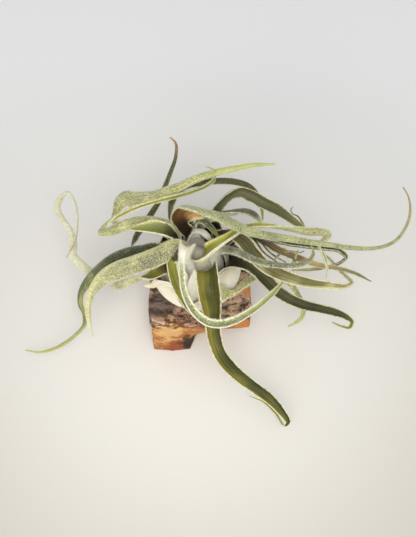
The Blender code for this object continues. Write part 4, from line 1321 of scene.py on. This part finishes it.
def buildHeart():
    sides = heart["sides"]
    path = smoothPath([(*p, 0.0, 0.0) for p in heart["profile"]], (0.0, 1.0, 0.0), heart["stepsPerStretch"])
    turns = np.linspace(0.0, 2.0 * np.pi, sides, endpoint=False)
    radii, heights, rings = path[:, :1], path[:, 1:2], len(path)
    fold = np.abs(np.sin(0.5 * heart["folds"] * (turns[None, :] + heart["twistPerMm"] * heights)))
    dent = heart["foldDepth"] * easeIn(heights, *heart["foldedBetween"]) * (1.0 - fold) ** 3
    wide = radii * (1.0 - dent)
    points = np.stack((wide * np.cos(turns), wide * np.sin(turns), heights + 0.0 * wide), axis=-1)
    points = np.concatenate((points.reshape(-1, 3), [[0.0, 0.0, path[0, 1]], [0.0, 0.0, path[-1, 1]]]))
    foot, last = rings * sides, (rings - 1) * sides
    faces = ringFaces(rings, sides)
    for a in range(sides):
        b = (a + 1) % sides
        faces += [(foot, b, a), (foot + 1, last + a, last + b)]
    piece = newMesh("stem_heart", points, faces, heartMaterial())
    across = np.tile(np.abs(turns / np.pi - 1.0), rings)
    addValues(piece.data, "acrossLeaf", np.concatenate((across, [0.0, 0.0])))
    addValues(piece.data, "alongLeaf", points[:, 2])
    addValues(piece.data, "leafSeed", np.zeros(len(points)))
    return piece


piece = buildHeart()
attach(piece, "root")
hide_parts("stem")
print("heart built")


# the chunk of bark, in mm

bark = {
    "topOutline": (
        (22.5, 1.0), (22.6, 9.0), (18.0, 15.0), (9.0, 18.6), (-2.0, 19.2), (-11.0, 17.8), (-18.5, 14.6),
        (-20.6, 6.0), (-20.9, -4.0), (-20.8, -10.5), (-20.0, -16.4), (-15.0, -18.2), (-7.0, -19.0),
        (2.4, -18.6), (7.0, -16.2), (13.0, -15.2), (22.0, -15.0), (23.0, -8.5),
    ),
    "waistOutline": (
        (21.4, 1.0), (21.6, 8.0), (17.5, 14.0), (8.0, 17.4), (-2.0, 18.0), (-10.0, 16.8), (-17.5, 13.4),
        (-19.4, 6.0), (-19.6, -4.0), (-20.2, -10.5), (-19.6, -17.6), (-14.0, -18.8), (-5.0, -19.0),
        (0.8, -17.2), (7.0, -15.4), (13.0, -15.0), (22.2, -14.8), (22.4, -9.0),
    ),
    "footOutline": (
        (15.0, 2.0), (16.0, 8.0), (13.5, 12.5), (6.0, 15.5), (-2.0, 16.2), (-9.0, 15.0), (-15.0, 12.0),
        (-17.0, 6.0), (-17.4, -4.0), (-18.8, -10.5), (-19.2, -20.1), (-11.2, -21.1), (-3.4, -20.0),
        (-0.6, -12.5), (4.5, -8.0), (9.5, -6.5), (13.0, -5.0), (14.5, -2.0),
    ),
    "sides": 300,
    "ringStepMm": 0.35,
    "sideRings": 52,
    "coarseMm": 4.5,
    "coarseDepth": 0.6,
    "plateMm": (3.2, 3.2, 1.3),
    "plateDepth": 0.45,
    "grainMm": 0.7,
    "grainDepth": 0.12,
    "waistHeight": 10.5,
    "rimHeight": 18.6,
    "rimRise": 1.4,
    "rimSteps": 7,
    "footRings": (0.2, 0.94, 5),
    "topRings": (0.93, 0.17, 40),
    "footRounding": 0.06,
    "footSmoothMm": 1.2,
    "rimRounding": 0.05,
    "holeRadius": 3.2,
    "holeShare": 0.168,
    "holeRim": 18.0,
    "holeFloor": 6.2,
    "hollow": (-1.5, -18.5, 4.6),
    "hollowReach": 3.6,
    "hollowDepth": 2.2,
}
barkNoises = {
    "big": (110.0, 4.0, 0.6),
    "middle": (330.0, 5.0, 0.62),
    "fine": (1000.0, 4.0, 0.6),
    "plates": (260.0, 3.0, 0.65),
}
# honey-coloured broken wood low down and grey-brown bark on top: a first colour, then layers, each with
# its noise, where on the noise it starts, where it is full, and its colour
barkLayers = {
    "honey": ((150, 88, 44), (
        ("middle", 0.36, 0.62, (192, 138, 78)), ("big", 0.55, 0.68, (144, 78, 38)),
        ("fine", 0.55, 0.72, (224, 184, 124)), ("fine", 0.42, 0.3, (100, 54, 28)),
    )),
    "crust": ((58, 46, 38), (
        ("middle", 0.36, 0.6, (190, 158, 126)), ("plates", 0.52, 0.62, (200, 164, 140)),
        ("fine", 0.54, 0.68, (208, 182, 156)), ("plates", 0.44, 0.34, (36, 29, 26)),
    )),
}
# places on the bark that have a colour of their own, and one near-black place of painted shade in the hollow
# at the front: what they lie on, middle and reach in mm, colour
barkPlaces = (
    ("honey", (-8.5, -20.8, 2.2), 6.5, (128, 48, 26)),
    ("honey", (-12.0, -20.0, 14.0), 7.5, (212, 172, 112)),
    ("crust", (-16.0, -9.0, 20.0), 8.0, (62, 56, 60)),
    ("crust", (-5.0, -15.5, 20.0), 6.5, (176, 136, 116)),
    ("both", (22.5, -2.0, 19.0), 4.0, (200, 130, 70)),
    ("both", (20.5, -16.0, 14.5), 6.0, (190, 120, 60)),
    # painted shade: near black in the hollow low on the front
    ("both", (-2.5, -20.0, 5.0), 6.5, (20, 9, 7)),
)
barkLook = {
    "grainSize": (0.6, 1.5, 2.4),
    "grainTurn": (0.0, 0.0, 0.3),
    "placeWeight": {"honey": 0.75, "crust": 0.75, "both": 0.92},
    "bigWander": 0.01,
    "plateWander": 0.008,
    "frontSlope": 0.9,
    "frontFrom": 16.6 * mm,
    "crustFrom": 17.2 * mm,
    "crustBlend": 1.0 * mm,
    "rimReach": (1.2 * mm, 3.4 * mm),
    "crackLevel": 0.47,
    "crackWidth": (0.03, 0.07),
    "crackPlates": (0.46, 0.56),
    "crack": (38, 26, 22),
    "charPlates": (0.5, 0.43),
    "charWeight": 0.8,
    "char": (62, 34, 24),
    # painted shade: darker the deeper a place lies in the hollow or a crevice
    "hollowBetween": (0.3, 0.9),
    "hollow": (46, 28, 22),
    "middleHeight": 0.7,
    "roughness": 0.75,
    "relief": (0.8, 0.8),
}


def outlineRadius(corners, turn):
    ray = (math.cos(turn), math.sin(turn))
    for i, start in enumerate(corners):
        after = corners[(i + 1) % len(corners)]
        edge = (after[0] - start[0], after[1] - start[1])
        across = ray[0] * edge[1] - ray[1] * edge[0]
        if abs(across) < 1e-9:
            continue
        reach = (start[0] * edge[1] - start[1] * edge[0]) / across
        share = (start[0] * ray[1] - start[1] * ray[0]) / across
        if reach > 0.0 and -1e-9 <= share <= 1.0 + 1e-9:
            return reach
    raise ValueError("the outline doesn't go round the axis")


def placeLayers(place, ragged, wanted):
    # the colours of places, each 1 near its middle and 0 away from it, with a ragged edge
    layers = []
    for lying, middle, reach, tint in barkPlaces:
        if lying == wanted:
            reach *= mm
            away = addDistance(place, middle) + ragged * (-1.3 * reach) + 0.65 * reach
            layers.append((addStep(away, reach, 0.55 * reach) * barkLook["placeWeight"][lying], tint))
    return layers


def barkMaterial():
    look = barkLook
    material, tree = newMaterial("brokenBark")
    place = addPlace(tree)
    inputs = {"Vector": place, "Scale": look["grainSize"], "Rotation": look["grainTurn"]}
    grain = Wire(addNode(tree, "Mapping", inputs)["Vector"])
    noises = {
        name: addNoise(place if name == "plates" else grain, *numbers) for name, numbers in barkNoises.items()
    }
    plates, middle = noises["plates"], noises["middle"]
    stuff = {}
    for name, ragged in (("honey", middle), ("crust", plates)):
        first, layers = barkLayers[name]
        layers = [(addStep(noises[label], low, high), tint) for label, low, high, tint in layers]
        stuff[name] = addLayers(first, *layers, *placeLayers(place, ragged, name))
    # the crust ends a little behind the front rim
    _, y, z = addParts(place)
    front = addMath("MINIMUM", (y + look["frontFrom"]) * look["frontSlope"], 0.0)
    wander = (noises["big"] - 0.5) * look["bigWander"] + (plates - 0.5) * look["plateWander"]
    height = z + front + wander
    start = look["crustFrom"]
    cracks = addStep(addMath("ABSOLUTE", middle - look["crackLevel"]), *look["crackWidth"], 1.0, 0.0)
    nearRim = addStep(addMath("ABSOLUTE", height - start), *look["rimReach"], 1.0, 0.0)
    char = addStep(plates, *look["charPlates"]) * look["charWeight"]
    colour = addLayers(
        stuff["honey"],
        (addStep(height, start, start + look["crustBlend"]), stuff["crust"]),
        (cracks * nearRim * addStep(plates, *look["crackPlates"]), look["crack"]),
        (nearRim * char, look["char"]),
        *placeLayers(place, plates, "both"),
        # painted shade in the hollow and the crevices
        (addStep(addValue(tree, "hollow"), *look["hollowBetween"]), look["hollow"]),
    )
    rise = middle * look["middleHeight"] + noises["fine"] * (1.0 - look["middleHeight"])
    return dress(material, {"Base Color": colour, "Roughness": look["roughness"]}, rise, *look["relief"])


def barkRows():
    # each ring: share of the outline, height, and how far it is roughened
    rim, rise, top = bark["rimHeight"], bark["rimRise"], bark["rimHeight"] + bark["rimRise"]
    rows = [(0.0, 0.0, 0.0)] + [(share, 0.0, 0.0) for share in np.linspace(*bark["footRings"])]
    for height in np.linspace(bark["ringStepMm"], rim, bark["sideRings"]):
        share = 1.0 - bark["footRounding"] * max(0.0, 1.0 - height) ** 2
        rows.append((share, height, min(1.0, height / bark["footSmoothMm"])))
    for bend in np.linspace(0.0, 0.5 * math.pi, bark["rimSteps"] + 1)[1:]:
        share = 1.0 - bark["rimRounding"] * (1.0 - math.cos(bend))
        rows.append((share, rim + rise * math.sin(bend), 1.0))
    for share in np.linspace(*bark["topRings"]):
        rows.append((share, top - rise * (0.95 - share) / 0.75, 1.0))
    hole, holeFloor = bark["holeShare"], bark["holeFloor"]
    return rows + [(hole, bark["holeRim"], 0.0), (hole, holeFloor, 0.0), (0.0, holeFloor - 0.1, 0.0)]


def barkReach(radii, share, height):
    # how far a ring lies from the axis, between the foot's, the waist's and the top's outline
    waist = bark["waistHeight"]
    if share == bark["holeShare"]:
        return bark["holeRadius"]
    if height < waist:
        blend = height / waist
        blend = 0.5 * blend + 0.5 * blend * blend * (3.0 - 2.0 * blend)
        return (radii["footOutline"] * (1.0 - blend) + radii["waistOutline"] * blend) * share
    blend = min(1.0, (height - waist) / (bark["rimHeight"] - waist))
    return (radii["waistOutline"] * (1.0 - blend) + radii["topOutline"] * blend) * share


def roughened(spot, far, share, roughness):
    # a place on the bark moved in or out, and how deep in a hollow it lies, for the painted shade there
    x, y, height = spot
    plateSpot = Vector([c / size for c, size in zip(spot, bark["plateMm"])])
    plate = noise.ridged_multi_fractal(plateSpot, 0.9, 2.1, 3, 1.0, 2.0)
    deep = max(0.0, 1.0 - math.dist(spot, bark["hollow"]) / bark["hollowReach"])
    out = bark["coarseDepth"] * noise.noise(Vector(spot) / bark["coarseMm"] + Vector((7.3, -2.1, 4.7)))
    out += bark["grainDepth"] * noise.noise(Vector(spot) / bark["grainMm"])
    out -= bark["plateDepth"] * max(0.0, 1.2 - plate) + bark["hollowDepth"] * deep
    out *= roughness
    level = max(0.0, (height - bark["rimHeight"]) / bark["rimRise"]) if share < 1.0 else 0.0
    outward = 1.0 + (1.0 - level) * out / max(far, 1.0)
    hollow = max(deep * 1.5, 0.8 * max(0.0, 0.75 - plate)) * roughness
    return (x * outward, y * outward, height + level * out * 0.8), hollow


def buildBark():
    sides, rows = bark["sides"], barkRows()
    turns = np.linspace(0.0, 2.0 * np.pi, sides, endpoint=False)
    radii = {
        key: np.array([outlineRadius(bark[key], turn) for turn in turns])
        for key in ("footOutline", "waistOutline", "topOutline")
    }
    made = []
    for share, height, roughness in rows:
        for turn, far in zip(turns, np.broadcast_to(barkReach(radii, share, height), sides)):
            spot = (far * math.cos(turn), far * math.sin(turn), height)
            made.append(roughened(spot, far, share, roughness))
    points, hollows = zip(*made)
    piece = newMesh("bark_chunk", points, ringFaces(len(rows), sides), barkMaterial())
    addValues(piece.data, "hollow", np.array(hollows))
    piece.modifiers.new("joinMiddles", "WELD").merge_threshold = 0.001 * mm
    return piece


piece = buildBark()
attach(piece, "root")
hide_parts("bark_block")
print("bark built")


# floor, lights and camera, in m where the name doesn't say mm

stageSettings = {
    "floorHalfMm": 2500.0,
    "floorFar": (0.67, 0.678, 0.682),
    "floorNear": (0.52, 0.497, 0.445),
    # painted light: the paler floor colour round the plant
    "floorPaintedLight": (0.755, 0.737, 0.7),
    "farBetween": (-0.08, 0.16),
    "paintedLightMiddleMm": (0.0, -12.0, 0.0),
    "paintedLightFadeBetween": (0.02, 0.15),
    "floorRoughness": 0.9,
    "skyColour": (0.97, 0.985, 1.0),
    "skyStrength": 0.6,
    "lampTarget": (0.0, 0.0, 0.03),
    "sensorMm": 24.0,
}
lamps = {
    "keyLight": {"place": (0.75, -0.95, 1.9), "size": 1.4, "energy": 7.0, "color": (1.0, 0.975, 0.93)},
    "fillLight": {"place": (-0.1, -1.35, 1.2), "size": 1.2, "energy": 12.0, "color": (1.0, 0.985, 0.95)},
    "frontLight": {"place": (0.02, -0.95, 1.53), "size": 0.9, "energy": 10.0, "color": (1.0, 0.97, 0.92)},
    "lowLight": {"place": (-0.3, -0.75, 0.28), "size": 0.45, "energy": 1.5, "color": (1.0, 0.96, 0.89)},
}


def buildFloor():
    half = stageSettings["floorHalfMm"]
    corners = [(-half, -half, 0.0), (half, -half, 0.0), (half, half, 0.0), (-half, half, 0.0)]
    material, tree = newMaterial("paleFloor")
    place = addPlace(tree)
    away = addStep(addParts(place)[1], *stageSettings["farBetween"])
    # painted light: the floor is paler round the plant, fading into the plain floor further out
    around = addStep(addDistance(place, stageSettings["paintedLightMiddleMm"]), *stageSettings["paintedLightFadeBetween"])
    plain = addLayers(stageSettings["floorNear"], (away, stageSettings["floorFar"]))
    colour = addLayers(stageSettings["floorPaintedLight"], (around, plain))
    inputs = {"Base Color": colour, "Roughness": stageSettings["floorRoughness"]}
    return newMesh("floor", corners, [(0, 1, 2, 3)], dress(material, inputs))


def addLamp(name, place, **settings):
    lamp = bpy.data.lights.new(name, "AREA")
    for key, value in settings.items():
        setattr(lamp, key, value)
    light = newPiece(name, lamp)
    light.location = place
    toTarget = Vector(stageSettings["lampTarget"]) - Vector(place)
    light.rotation_euler = toTarget.to_track_quat("-Z", "Y").to_euler()


def buildSky():
    scene.world = bpy.data.worlds.new("softSky")
    scene.world.use_nodes = True
    background = scene.world.node_tree.nodes["Background"]
    feed(background.inputs["Color"], stageSettings["skyColour"])
    feed(background.inputs["Strength"], stageSettings["skyStrength"])


def buildCamera():
    lens = bpy.data.cameras.new("camera")
    lens.sensor_fit = "VERTICAL"
    lens.sensor_height = stageSettings["sensorMm"]
    lens.lens = lens.sensor_height * view["distance"] / (view["pixelHeight"] * view["mmPerPixel"])
    camera = newPiece("camera", lens)
    camera.location = tuple(eye * mm)
    camera.rotation_euler = (0.5 * math.pi - view["tilt"], 0.0, 0.0)
    scene.camera = camera


floor = buildFloor()
buildSky()
for lampName, settings in lamps.items():
    addLamp(lampName, **settings)
buildCamera()
print("stage set")

bpy.context.view_layer.update()
